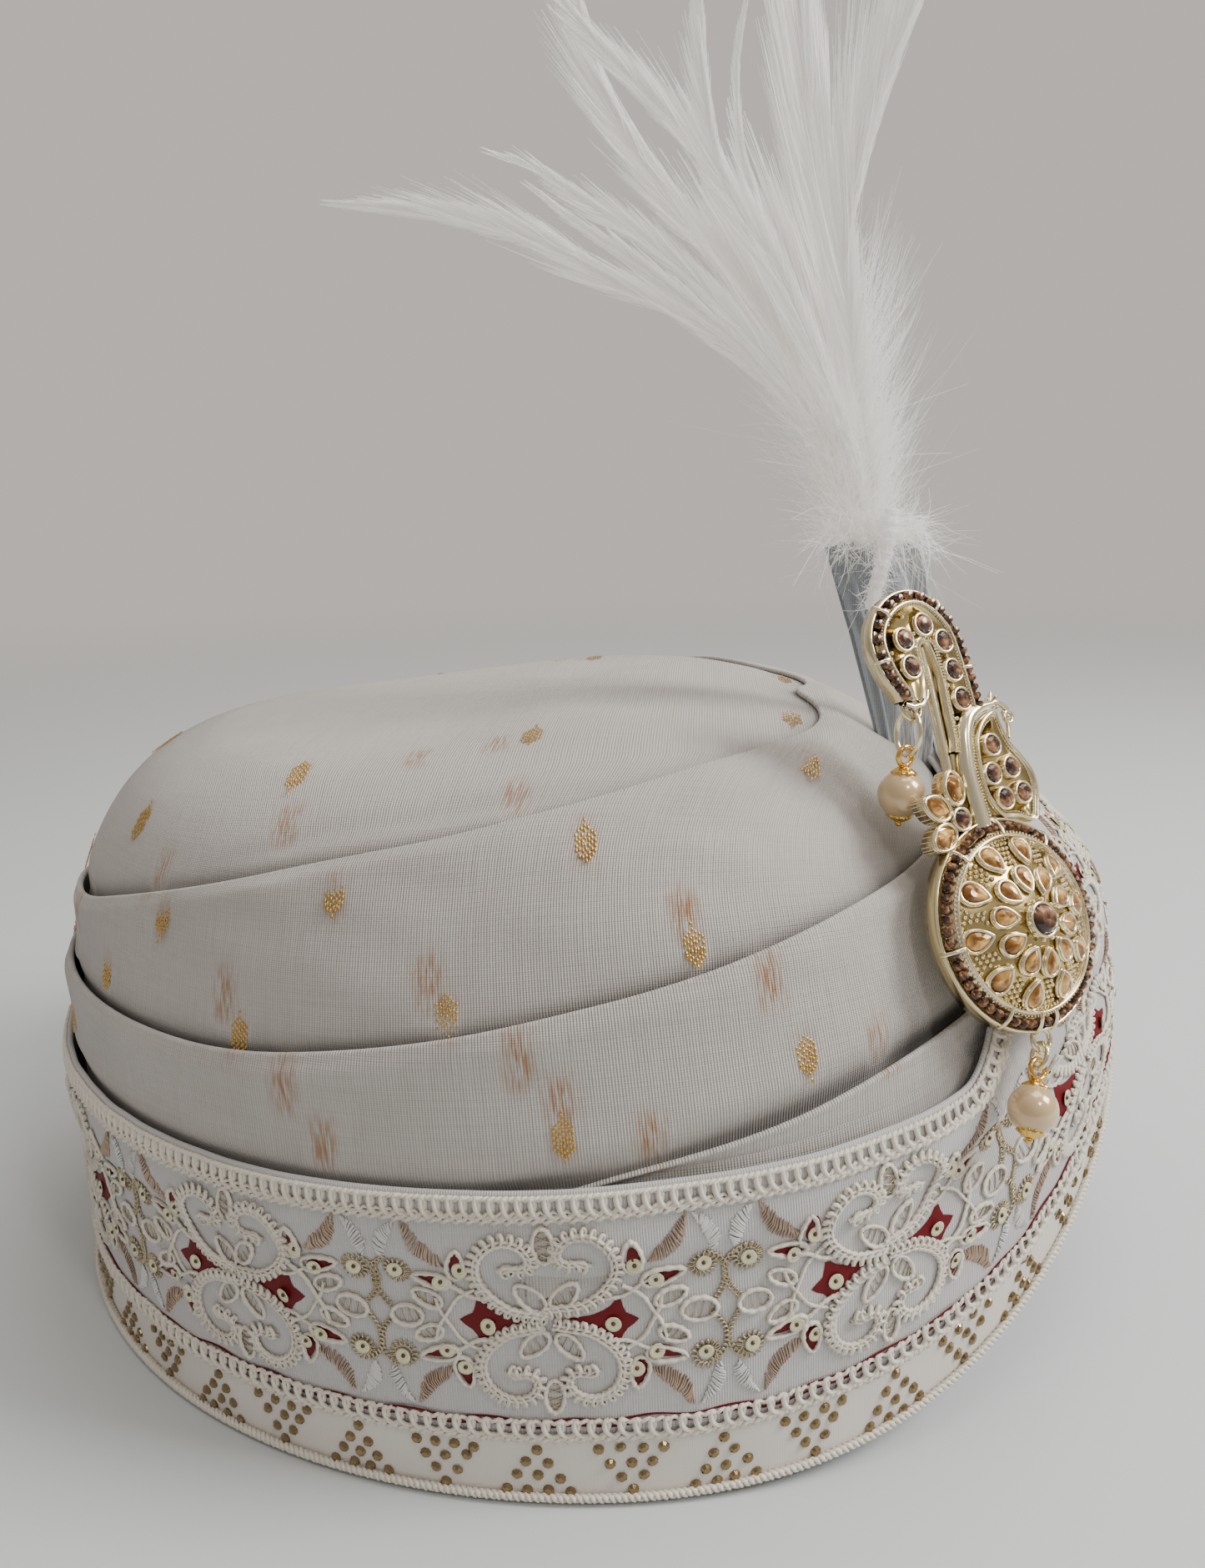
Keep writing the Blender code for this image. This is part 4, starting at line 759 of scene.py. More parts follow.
def curve_through(points, count, closed=False):
    """Evenly spaced points of a smooth curve through the given ones.

    Between two points it is the cubic whose slopes are half the step from the
    point before to the point after.
    """
    points = np.asarray(points, float)
    if closed:
        knots = np.concatenate([points[-1:], points, points[:2]])
    else:
        knots = np.concatenate([2 * points[:1] - points[1:2], points, 2 * points[-1:] - points[-2:-1]])
    a, b, c, d = knots[:-3, None], knots[1:-2, None], knots[2:-1, None], knots[3:, None]
    t = np.linspace(0.0, 1.0, 12, endpoint=False)[None, :, None]
    fine = b + 0.5 * t * ((c - a) + t * ((2 * a - 5 * b + 4 * c - d) + t * (3 * (b - c) + d - a)))
    fine = np.concatenate([fine.reshape(-1, points.shape[1]), knots[-2:-1]])
    reach = np.concatenate([[0.0], np.cumsum(np.linalg.norm(np.diff(fine, axis=0), axis=1))])
    at = np.linspace(0.0, reach[-1], count + 1 if closed else count)
    line = np.stack([np.interp(at, reach, fine[:, k]) for k in range(points.shape[1])], axis=-1)
    return line[:-1] if closed else line


def side_of(path):
    """Unit direction and the direction to its left for each point of flat paths."""
    along = unit(np.gradient(path, axis=-2))
    return along, np.stack([-along[..., 1], along[..., 0]], axis=-1)


# One embroidery motif, in mm from its centre: the right is towards the front

SCROLL = (
    (0.3, 0.7), (3.4, 1.3), (6.6, 2.0), (9.6, 3.9), (11.8, 6.4), (13.0, 9.3), (12.7, 12.4), (11.3, 15.0),
    (8.9, 16.8), (6.2, 17.2), (3.6, 16.2), (2.1, 13.9), (2.4, 11.7), (4.3, 10.6), (6.3, 10.9), (8.0, 10.0),
)
DIAMOND = ((16.6, -0.6), (14.0, 1.0), (12.9, 4.2), (10.6, 2.2), (6.8, 0.7), (2.2, 0.0),
           (6.6, -1.1), (9.6, -2.8), (12.6, -5.2), (13.8, -3.0))
SPIRAL_ARM = ((29.0, 11.6), (31.6, 9.6), (32.4, 6.4), (31.6, 3.6), (29.6, 1.0))
STEM = ((9.6, 4.2), (13.5, 4.3), (17.0, 6.2), (19.6, 7.0))
LONG_STEM = ((21.0, 4.4), (20.3, 1.6), (18.6, -1.4), (16.8, -4.2), (13.6, -6.2))
TWIG = ((12.4, 4.0), (16.0, 4.0), (17.6, 0.4), (22.0, 0.3))
# Ovals: centre right and up, half length, half width, turn in degrees, sharpness of the tip
WAIST_PETAL = (3.2, 5.2, 3.4, 2.1, 47, 0.3)
BUD = (0.2, 15.9, 3.4, 1.9, 92, 0.1)
LEAF_UP = (15.9, 11.6, 3.2, 2.1, 100, 0.4)
LEAF_OUT = (20.9, 7.6, 3.8, 1.9, 14, 0.5)
CLUSTER = ((22.2, 3.4, 2.9, 1.7, 22, 0.2), (27.0, -0.2, 3.2, 2.2, 0, 0.0), (22.2, -4.0, 2.9, 1.7, -22, 0.2))
SATIN_LEAF = ((18.6, 11.4), (20.6, 12.6), (23.4, 14.8), (25.4, 18.8))
WHITE_LEAF = ((30.6, 12.2), (30.2, 14.6), (28.8, 17.2), (27.2, 18.9))
SPIRAL_CENTRE = (28.1, 8.9)
SEQUINS = ((11.6, -0.9), (15.7, 10.4), (19.4, 7.1))
MOTIF_HEIGHT = 0.0390
MOTIF_COUNT = 12
FIRST_MOTIF = 0.190


def oval(shape, count):
    """Closed oval with a pinched tip: x = a cos t, y = b sin t times (1 - p (1 + cos t) / 2)."""
    x, y, length, width, turn, pinch = shape
    t = np.linspace(0.0, 2.0 * math.pi, count, endpoint=False)
    along = length * np.cos(t)
    across = width * np.sin(t) * (1.0 - pinch * (1.0 + np.cos(t)) / 2.0)
    c, s = math.cos(math.radians(turn)), math.sin(math.radians(turn))
    return np.stack([x + along * c - across * s, y + along * s + across * c], axis=-1)


def four_ways(shape):
    """A flat shape of one quarter, mirrored into all four quarters."""
    signs = np.array([(1, 1), (-1, 1), (1, -1), (-1, -1)], float)
    return signs[:, None, :] * np.asarray(shape)[None]


def two_ways(shape, across=True):
    """A flat shape and its mirror, across the upright line or the level one."""
    sign = np.array([(1, 1), (-1, 1)] if across else [(1, 1), (1, -1)], float)
    return sign[:, None, :] * np.asarray(shape)[None]


def motif_places():
    """Places of the motif's centre on the cloth: (along, height, turn) rows.

    Twelve stand evenly round the border, and a few more fill the wrap above it.
    """
    rows = [(FIRST_MOTIF + RIM_ROUND * k / MOTIF_COUNT, MOTIF_HEIGHT, 0.0) for k in range(MOTIF_COUNT)]
    rows += [(RIM_ROUND - 0.004, 0.0865, 0.05), (RIM_ROUND - 0.066, 0.0800, -0.25), (0.046, 0.0800, 0.35)]
    return np.array(rows)


def on_motifs(shapes, seed, wobble=0.25):
    """Flat shapes in mm (n, points, 2) set at every motif, each a little uneven.

    The unevenness moves, turns and stretches a whole shape by small normal draws.
    """
    shapes = np.asarray(shapes, float)
    places = motif_places()
    dice = np.random.default_rng(seed)
    copies, count = len(places), len(shapes)
    middle = shapes.mean(axis=1, keepdims=True)
    turn = dice.normal(0.0, 0.05 * wobble / 0.25, (copies, count, 1))
    size = 1.0 + dice.normal(0.0, 0.03, (copies, count, 1, 1))
    shift = dice.normal(0.0, wobble, (copies, count, 1, 2))
    local = (shapes - middle)[None] * size
    x = local[..., 0] * np.cos(turn) - local[..., 1] * np.sin(turn)
    y = local[..., 0] * np.sin(turn) + local[..., 1] * np.cos(turn)
    local = np.stack([x, y], axis=-1) + middle[None] + shift
    lean = places[:, 2][:, None, None]
    x = local[..., 0] * np.cos(lean) - local[..., 1] * np.sin(lean)
    y = local[..., 0] * np.sin(lean) + local[..., 1] * np.cos(lean)
    along = places[:, 0][:, None, None] - x * MM
    height = places[:, 1][:, None, None] + y * MM
    flat = np.stack([along, height], axis=-1)
    return flat.reshape(copies * count, shapes.shape[1], 2)


def looped(path, pitch, width, length, per_loop):
    """A path in mm with loops along it: an angle grows one turn every pitch.

    Each point is the path's, moved by width times cos across it and length times
    sin along it. Gives the points and the angle.
    """
    path = np.asarray(path, float)
    steps = np.linalg.norm(np.diff(path, axis=0), axis=1)
    reach = np.concatenate([[0.0], np.cumsum(steps)])
    loops = max(int(round(reach[-1] / pitch)), 3)
    angle = np.linspace(0.0, 2.0 * math.pi * loops, loops * per_loop + 1)
    at = angle / angle[-1] * reach[-1]
    centre = np.stack([np.interp(at, reach, path[:, k]) for k in (0, 1)], axis=-1)
    along, left = side_of(centre)
    return centre + left * (width * np.cos(angle))[:, None] + along * (length * np.sin(angle))[:, None], angle


def build_scrolls():
    """Four ram's-horn scrolls a motif, each a cord of small loops with a core line."""
    path = curve_through(SCROLL, 120)
    loops, angle = looped(path, 1.55, 1.12, 0.78, 9)
    flat = on_motifs(four_ways(loops), 41, 0.3)
    wires = lay_wires(flat, (0.50 + 0.26 * np.sin(angle)) * MM, 0.46 * MM, 3)
    edge, left = side_of(path)
    swell = 1.0 + 0.25 * np.cos(np.arange(60) * 2.2)
    core = [on_motifs(four_ways(path + left * shift)[:, ::2], 41, 0.3) for shift in (0.95, 0.2)]
    return [wires] + [lay_wires(flat, 0.62 * MM, 0.42 * swell * MM, 3) for flat in core]


def build_cords():
    """White cord outlines of petals, buds and leaves, and their stems."""
    beads = 1.0 + 0.22 * np.cos(np.arange(30) * 2.0 * math.pi * 10 / 30)
    closed = [four_ways(oval(shape, 30)) for shape in (WAIST_PETAL, LEAF_UP, LEAF_OUT)]
    closed.append(two_ways(oval(BUD, 30), False))
    closed += [two_ways(oval(shape, 30)) for shape in CLUSTER]
    flat = on_motifs(np.concatenate(closed), 43, 0.32)
    parts = [lay_wires(flat, 0.42 * MM, 0.52 * MM * beads, 3, True)]
    stems = [four_ways(curve_through(shape, 22)) for shape in (STEM, LONG_STEM)]
    flat = on_motifs(np.concatenate(stems), 44, 0.2)
    parts.append(lay_wires(flat, 0.40 * MM, (0.46 + 0.10 * np.cos(np.arange(22) * 2.4)) * MM, 3))
    return parts


def across_stitches(shape, count, slant):
    """Stitches inside an oval, from one side to the other at a slant: (count, 4, 2)."""
    x, y, length, width, turn, pinch = shape
    t = np.linspace(-0.72, 0.72, count)[:, None]
    side = np.linspace(-1.0, 1.0, 4)[None, :]
    along = length * t + slant * side
    across = width * 0.72 * side * np.sqrt(1.0 - t**2) * (1.0 - pinch * (1.0 + t) / 2.0)
    c, s = math.cos(math.radians(turn)), math.sin(math.radians(turn))
    return np.stack([x + along * c - across * s, y + along * s + across * c], axis=-1)


def satin(line, width, count, slant):
    """Close stitches across a leaf whose middle line is given: (count, 3, 2)."""
    path = curve_through(line, count)
    along, left = side_of(path)
    share = np.linspace(0.02, 0.98, count)
    half = width * np.sin(math.pi * share**0.8) ** 0.7
    ends = [path + left * half[:, None] * s + along * slant * s for s in (-1.0, 0.0, 1.0)]
    return np.stack(ends, axis=1)


def mirrored(stitches):
    """Stitches (count, points, 2) mirrored into all four quarters."""
    return np.concatenate([stitches * np.array(sign) for sign in ((1, 1), (-1, 1), (1, -1), (-1, -1))])


def dome_stitches(flat, low, high, radius, sides=3):
    """Short wires over a filled shape: low at their ends and high in the middle."""
    count = flat.shape[1]
    out = low + (high - low) * np.sin(np.linspace(0.0, math.pi, count))
    return lay_wires(flat, out[None], radius, sides)


def build_thread(shapes, seed, low, high, radius):
    """Stitch wires of given flat shapes at every motif."""
    return dome_stitches(on_motifs(shapes, seed, 0.12), low * MM, high * MM, radius * MM)


def fill(outline, rings=3):
    """Filled flat shape: rings of points that shrink to the outline's middle."""
    outline = np.asarray(outline, float)
    middle = outline.mean(axis=-2, keepdims=True)
    share = np.linspace(1.0, 0.04, rings + 1)[:, None, None]
    return (middle + (outline - middle) * share).reshape(-1, 2), share.ravel()


def build_patches(shapes, seed, wobble, rise):
    """Filled domes on the cloth, higher towards the middle of each shape."""
    filled = [fill(shape) for shape in shapes]
    share = filled[0][1]
    flat = on_motifs(np.array([points for points, _ in filled]), seed, wobble)
    points = len(shapes[0])
    out = (0.10 + rise * (1.0 - share**2)) * MM
    out = np.repeat(out, points)[None]
    verts, normals = border_frame(flat[..., 0], flat[..., 1], np.broadcast_to(out, flat.shape[:2]))
    quads = repeat_quads(grid_quads(len(share), points, False, True), len(share) * points, len(flat))
    return verts.reshape(-1, 3), quads


def build_maroon():
    """Dark red satin: two diamonds and eight almond leaves a motif."""
    diamonds = two_ways(curve_through(DIAMOND, 24, True))
    leaves = [four_ways(oval((x, y, a * 0.86, b * 0.8, turn, pinch), 24))
              for x, y, a, b, turn, pinch in (LEAF_UP, LEAF_OUT)]
    shapes = list(diamonds) + [shape for group in leaves for shape in group]
    return [build_patches(shapes, 45, 0.16, 0.22)]


def place_rounds(spots, profile, sides, out, seed=None):
    """Small turned shapes on the cloth at flat spots (n, 2), from (radius, out) rows.

    With a seed every shape tilts a little: its height is moved by a plane.
    """
    turn = 2.0 * math.pi * np.arange(sides) / sides
    rows = np.array(profile)
    radius, rise = rows[:, :1], rows[:, 1:]
    x, y = radius * np.cos(turn), radius * np.sin(turn)
    around = around_at(spots[:, 0])
    up = up_at(spots[:, 1])
    point, rising, along, normal = surface_frame(around, up)
    lift = border_lift(around, up) + border_waves(around, up) + out - front_tuck(around, up)
    tilt = np.zeros((len(spots), 2)) if seed is None else np.random.default_rng(seed).normal(0.0, 0.10, (len(spots), 2))
    height = rise + np.zeros_like(x) + 0.0
    height = height[None] + tilt[:, 0, None, None] * x[None] + tilt[:, 1, None, None] * y[None]
    centre = point + normal * lift[:, None]
    verts = centre[:, None, None] + x[None, ..., None] * along[:, None, None]
    verts = verts + y[None, ..., None] * rising[:, None, None] + height[..., None] * normal[:, None, None]
    quads = repeat_quads(grid_quads(len(rows), sides, False, True), len(rows) * sides, len(spots))
    return verts.reshape(-1, 3), quads


def motif_spots(spots, seed, wobble):
    """Single spots in mm, set at every motif: (n, 2) rows of (along, height)."""
    return on_motifs(np.asarray(spots, float)[:, None, :], seed, wobble)[:, 0]


def build_sequins():
    """Cupped discs with a hole, three kinds of place a quarter, and their beads."""
    spots = [two_ways([SEQUINS[0]])[:, 0]]
    spots += [four_ways([spot])[:, 0] for spot in SEQUINS[1:] + (SPIRAL_CENTRE,)]
    flat = motif_spots(np.concatenate(spots), 46, 0.22)
    cup = ((0.42 * MM, 0.05 * MM), (0.9 * MM, 0.10 * MM), (1.45 * MM, 0.32 * MM), (1.5 * MM, 0.18 * MM))
    bead = ((0.42 * MM, 0.0), (0.40 * MM, 0.28 * MM), (0.22 * MM, 0.46 * MM), (0.01 * MM, 0.50 * MM))
    return place_rounds(flat, cup, 14, 0.55 * MM, 47), place_rounds(flat, bead, 8, 0.50 * MM)


def build_spirals():
    """Gold thread of small loops in a ring about each outer sequin, and its arm."""
    ring = oval((*SPIRAL_CENTRE, 2.2, 2.2, 0, 0.0), 60)
    ring = np.concatenate([ring, ring[:1]])
    loops, angle = looped(ring, 0.95, 0.62, 0.42, 6)
    arm, arm_angle = looped(curve_through(SPIRAL_ARM, 40), 1.0, 0.55, 0.42, 6)
    parts = []
    for shape, turn, seed in ((loops, angle, 48), (arm, arm_angle, 49)):
        flat = on_motifs(four_ways(shape), seed, 0.2)
        parts.append(lay_wires(flat, (0.30 + 0.12 * np.sin(turn)) * MM, 0.21 * MM, 3))
    return parts


# Lace, piping and stones of the border


def ribbon(around, up, lift):
    """A line on the cloth with its frames: points, normals, inward sides and reach."""
    point, _, _, normal = surface_frame(around, up)
    line = point + normal * (lift - front_tuck(around, up))[..., None]
    along = unit(np.gradient(line, axis=0))
    side = unit(np.cross(normal, along))
    reach = np.concatenate([[0.0], np.cumsum(np.linalg.norm(np.diff(line, axis=0), axis=1))])
    return line, normal, side, reach


def on_ribbon(strip, at, across, out):
    """Points beside a ribbon's line: at a reach along it, across it and off it."""
    line, normal, side, reach = strip
    at = at % reach[-1]
    read = [np.stack([np.interp(at, reach, part[:, k]) for k in range(3)], axis=-1) for part in (line, normal, side)]
    across, out = np.broadcast_arrays(across, out, at)[:2]
    return read[0] + read[2] * across[..., None] + read[1] * out[..., None], read[1]


def ribbon_wire(strip, at, across, out, radius, sides):
    """One wire beside a ribbon's line that closes on itself."""
    points, normals = on_ribbon(strip, at, across, out)
    return tubes(points[None], normals[None], radius, sides, True)


def build_lace(strip, width, pitch, dense):
    """Crocheted lace: a cord of tall loops between a top line and a twisted foot."""
    whole = strip[3][-1]
    loops = int(round(whole / pitch))
    angle = np.arange(loops * 13) * (2.0 * math.pi / 13)
    dice = np.random.default_rng(int(width * 1e6))
    uneven = np.repeat(dice.normal(0.0, 0.10 * MM, loops), 13)
    at = angle / (2.0 * math.pi) * whole / loops + 0.36 * pitch * np.sin(angle)
    across = 0.46 * width + 0.37 * width * np.cos(angle) + uneven
    parts = [ribbon_wire(strip, at, across, (0.38 + 0.22 * np.sin(angle)) * MM, 0.52 * MM, 4)]
    count = int(whole / (0.58 * MM))
    at = np.arange(count) / count * whole
    for phase, middle, radius in ((0.0, 0.93, 0.46), (math.pi, 0.85, 0.46), (0.6, 0.68, 0.36))[: 3 if dense else 2]:
        twist = 2.0 * math.pi * at * round(whole / (2.3 * MM)) / whole + phase
        across = middle * width + 0.42 * MM * np.sin(twist)
        parts.append(ribbon_wire(strip, at, across, (0.40 + 0.26 * np.cos(twist)) * MM, radius * MM, 3))
    for phase in (0.0, math.pi)[: 2 if dense else 1]:
        twist = 2.0 * math.pi * at * round(whole / (2.3 * MM)) / whole + phase
        across = 0.12 * width + 0.30 * MM * np.sin(twist)
        parts.append(ribbon_wire(strip, at, across, (0.36 + 0.2 * np.cos(twist)) * MM, 0.40 * MM, 3))
    return gather(parts)


def build_piping(strip):
    """Two-strand rope: each strand circles the middle line once every 2.4 mm."""
    whole = strip[3][-1]
    count = int(whole / (0.46 * MM))
    at = np.arange(count) / count * whole
    parts = []
    for phase in (0.0, math.pi):
        twist = 2.0 * math.pi * at * round(whole / (2.4 * MM)) / whole + phase
        parts.append(ribbon_wire(strip, at, 0.46 * MM * np.cos(twist), 0.46 * MM * np.sin(twist), 0.60 * MM, 4))
    return gather(parts)


def stone_spots():
    """Flat places of the glued stones: triangles of ten, point down then point up."""
    count = 44
    spots = []
    dice = np.random.default_rng(3)
    for index in range(count):
        middle = 0.2115 + RIM_ROUND * index / count
        down = index % 2 == 0
        for row in range(4):
            stones = 4 - row if down else row + 1
            height = 11.4 - 2.95 * row
            for place in range(stones):
                along = middle + (place - (stones - 1) / 2) * 3.95 * MM
                spots.append((along, height * MM))
    spots = np.array(spots)
    return spots + dice.normal(0.0, 0.18 * MM, spots.shape)


def build_strip():
    """White satin strip from under the lower lace to the rim, just off the cloth."""
    around = ring_grid(480)
    up = up_at(np.linspace(0.2, 14.5, 9) * MM)[:, None] + np.zeros_like(around)
    turn = np.broadcast_to(around, up.shape)
    lift = border_lift(turn, up) + border_waves(turn, up) + 0.25 * MM
    points = skin(turn, up, lift)
    return mesh_object("rim_strip", points, grid_quads(9, 480, False, True), SATIN, cloth_uv(turn, up))


def layer_at(around, up):
    """Lift of the outermost crown cloth at a place, as the pleats have it."""
    upper, middle = fold_up(UPPER_FOLD, around), fold_up(MIDDLE_FOLD, around)
    lace = float(up_at(UPPER_LACE_TOP))
    lower = np.maximum(fold_up(LOWER_FOLD, around), lace)
    first = STEP_OUT * np.clip((up - middle) / np.maximum(upper - middle, 1e-6), 0.0, 1.0)
    second = STEP_OUT * np.clip((up - lower) / np.maximum(middle - lower, 1e-6), 0.0, 1.0)
    first = first + pleat_waves(around, up, upper, middle, 11)
    second = second + pleat_waves(around, up, middle, lower, 15)
    crown = crown_wrinkles(around, up)
    return np.where(up > upper, crown, np.where(up > middle, first, second))


def build_sprigs():
    """Each sprig is a leaf-shaped field of upright gold dashes with a longer stem.

    A dash is a small dome: its height goes as 1 - 0.8 u u - 0.9 v v over its face.
    """
    dice = np.random.default_rng(8)
    row, column = np.meshgrid(np.arange(9) - 4.0, np.arange(9) - 4.0, indexing="ij")
    x, y = (column * 0.60).ravel(), (row * 1.22 + 0.6 * (column % 2)).ravel()
    inside = (np.abs(x) / 2.3) ** 1.4 + (np.abs(y) / 4.6) ** 1.7 < 1.0
    stem = (np.abs(x) < 0.3) & (y > 0.0) & (y < 6.4)
    x, y = x[inside | stem], y[inside | stem]
    around, height = np.array(SPRIGS).T
    around = np.radians(np.concatenate([around, -around + 3.0]))
    height = np.concatenate([height, height]) * MM
    up = up_at(height)
    lift = layer_at(around, up) + 0.10 * MM - front_tuck(around, up)
    point, rising, along, normal = cloth_frame(around, up)
    rising = rising * (1.0 + 0.6 * smooth((up - math.radians(58)) / math.radians(16)))[:, None]
    centre = point + normal * lift[:, None]
    size = dice.uniform(0.9, 1.1, len(up))[:, None, None]
    end = np.where(np.arange(len(up)) % 3 == 0, -1.0, 1.0)[:, None]
    dx = x[None] + dice.normal(0.0, 0.06, (len(up), len(x)))
    dy = y[None] * end + dice.normal(0.0, 0.14, (len(up), len(x)))
    spots = centre[:, None] + (along[:, None] * dx[..., None] + rising[:, None] * dy[..., None]) * size * MM
    u, v = np.meshgrid(np.linspace(-1, 1, 3), np.linspace(-1, 1, 4), indexing="ij")
    flat_u, flat_v = u.ravel() * 0.20 * MM, v.ravel() * 0.48 * MM
    dome = (1.0 - 0.8 * u.ravel() ** 2 - 0.9 * v.ravel() ** 2) * 0.22 * MM
    verts = spots[:, :, None] + along[:, None, None] * flat_u[:, None] + rising[:, None, None] * flat_v[:, None]
    verts = verts + normal[:, None, None] * dome[:, None]
    copies = spots.shape[0] * spots.shape[1]
    return verts.reshape(-1, 3), repeat_quads(grid_quads(3, 4), 12, copies)


# Brooch: its own axes are right, up and out from the medallion's centre, in mm

BROOCH_AXES = np.array([[0.59482, -0.80386, 0.0], [0.32696, 0.24194, 0.91355], [-0.73436, -0.54340, 0.40674]])
BROOCH_PLACE = np.array([-0.075276, -0.090964, 0.100292])
MEDALLION = 20.8
FIELD = 16.6
DOME = 6.0
HOOK = (
    (2.4, 42.6, 4.3), (2.3, 48.0, 4.4), (2.0, 53.7, 4.5), (0.8, 59.5, 4.7), (-3.5, 63.3, 5.1),
    (-8.4, 62.6, 5.5), (-11.9, 58.8, 6.0), (-11.9, 54.2, 5.6), (-11.2, 50.2, 4.7), (-11.2, 46.6, 3.0),
)
NECK = (
    (-1.65, 19.6, 2.3), (-1.85, 25.9, 2.05), (-1.8, 30.0, 1.9), (-1.05, 34.5, 1.85), (0.1, 38.4, 1.85),
    (2.2, 41.4, 1.75), (5.4, 42.9, 1.4), (9.0, 43.3, 1.0),
)
WING = (
    (4.2, 21.0), (8.5, 20.2), (12.6, 18.8), (14.4, 21.8), (15.4, 25.3), (15.2, 28.6), (13.5, 31.7), (11.3, 34.7),
    (10.1, 38.0), (9.5, 41.4), (7.6, 41.2), (5.2, 39.8), (3.0, 37.2), (1.9, 33.3), (1.3, 28.6), (1.9, 24.5),
)
SLOT = ((-5.4, 48.5), (-5.8, 52.0), (-6.3, 55.5), (-5.4, 57.4), (-3.2, 57.8), (-2.0, 56.4), (-1.9, 51.6),
        (-2.3, 46.8), (-2.8, 42.0), (-3.1, 38.0), (-3.8, 35.2))
BAR = ((-2.9, 57.0, 1.2), (-3.4, 51.0, 1.1), (-3.8, 45.0, 1.1), (-4.3, 38.0, 1.0), (-4.8, 31.0, 0.9))
HOOK_STONES = ((-3.3, 61.2), (-9.4, 58.6), (-9.4, 53.0), (1.0, 57.4), (1.5, 51.3), (1.8, 45.3))
WING_STONES = ((6.5, 35.2), (10.1, 30.1), (4.5, 29.5), (11.5, 24.6), (6.1, 24.2))
STONE = 2.0
FLOWER = (-7.2, 22.0)
PETAL_TURNS = (88, 150, 207)
INNER_RING, OUTER_RING = (7.95, 21.0, 1.0), (13.6, 3.0, 1.1)
HALO_COUNT = 56
HOOK_HALO_COUNT = 25
PRONGS = (127, 185, 237, 262, 275, 50, 359, 88, 327)
PEARL = 4.75
DROPS = (((-10.66, 45.235, -1.1), (-12.1, 29.7, -8.2)), ((0.0, -22.825, -1.5), (-6.8, -34.3, -1.8)))


def on_brooch(points):
    """Points in the brooch's axes and mm, moved to the turban."""
    return np.asarray(points) @ BROOCH_AXES * MM + BROOCH_PLACE


def dome_out(radius):
    """Height of the medallion's dome at a radius: a parabola down to its edge."""
    return 0.9 + (DOME - 0.9) * (1.0 - np.minimum(np.asarray(radius) / FIELD, 1.0) ** 2)


def turned(profile, sides, spin=0.0):
    """Surface of revolution about the out axis from (radius, out) rows."""
    rows = np.array(profile, float)
    turn = 2.0 * math.pi * np.arange(sides) / sides + spin
    x, y = rows[:, :1] * np.cos(turn), rows[:, :1] * np.sin(turn)
    points = np.stack([x, y, rows[:, 1:] + np.zeros_like(x)], axis=-1)
    return points.reshape(-1, 3), grid_quads(len(rows), sides, False, True)


def moved(part, shift):
    """A part shifted by a vector."""
    return part[0] + np.asarray(shift, float), part[1]


def wire(path, radius, sides=6, closed=False):
    """Round wire along a path in the brooch's axes."""
    path = np.asarray(path, float)[None]
    return tubes(path, np.broadcast_to([0.0, 0.0, 1.0], path.shape), radius, sides, closed)


def circle(centre, radius, count, out=0.0):
    """Points of a level circle."""
    t = np.linspace(0.0, 2.0 * math.pi, count, endpoint=False)
    return np.stack([centre[0] + radius * np.cos(t), centre[1] + radius * np.sin(t), np.full(count, out)], axis=-1)


def balls(centres, radius, sides=7, rows=5):
    """Many small balls: the same turned profile about each centre."""
    angle = np.linspace(0.04, math.pi - 0.04, rows)
    unit_ball, quads = turned(np.stack([np.sin(angle), -np.cos(angle)], axis=-1), sides)
    centres = np.asarray(centres, float)
    verts = centres[:, None] + unit_ball[None] * np.broadcast_to(radius, (len(centres),))[:, None, None]
    return verts.reshape(-1, 3), repeat_quads(quads, len(unit_ball), len(centres))


def gem(outline, rise, table=0.55):
    """Cut stone on an outline about its own middle: girdle, two rows of facets, table.

    The middle row is half a step round from the others, so its facets are kites.
    """
    outline = np.asarray(outline, float)
    middle = outline.mean(axis=0)
    halfway = (outline + np.roll(outline, -1, axis=0)) / 2
    rows = (
        (outline, 1.0, 0.0), (outline, 1.0, 0.18), (halfway, 0.86, 0.62), (outline, table, 1.0), (outline, 0.03, 1.02),
    )
    points = [np.column_stack([middle + (ring - middle) * s, np.full(len(ring), z * rise)]) for ring, s, z in rows]
    return np.concatenate(points), grid_quads(len(rows), len(outline), False, True)


def tear(length, width, count):
    """Teardrop outline with its point towards the left: y goes as sin t times (sin t/2)**0.8."""
    t = np.linspace(0.0, 2.0 * math.pi, count, endpoint=False) + math.pi / count
    return np.stack([-length / 2 * np.cos(t), width * 0.59 * np.sin(t) * np.abs(np.sin(t / 2)) ** 0.8], axis=-1)


def seat_at(part, turn, radius, sink=0.0):
    """A part set on the dome: at a radius and a turn in degrees, tilted with the dome."""
    points, quads = part
    slope = math.atan(2.0 * (DOME - 0.9) * radius / FIELD**2)
    c, s = math.cos(slope), math.sin(slope)
    x = points[:, 0] * c + points[:, 2] * s + radius
    z = points[:, 2] * c - points[:, 0] * s + float(dome_out(radius)) - sink
    c, s = math.cos(math.radians(turn)), math.sin(math.radians(turn))
    return np.stack([x * c - points[:, 1] * s, x * s + points[:, 1] * c, z], axis=-1), quads


def level(outline, out):
    """Flat outline as points at one height."""
    outline = np.asarray(outline, float)
    return np.column_stack([outline, np.full(len(outline), out)])


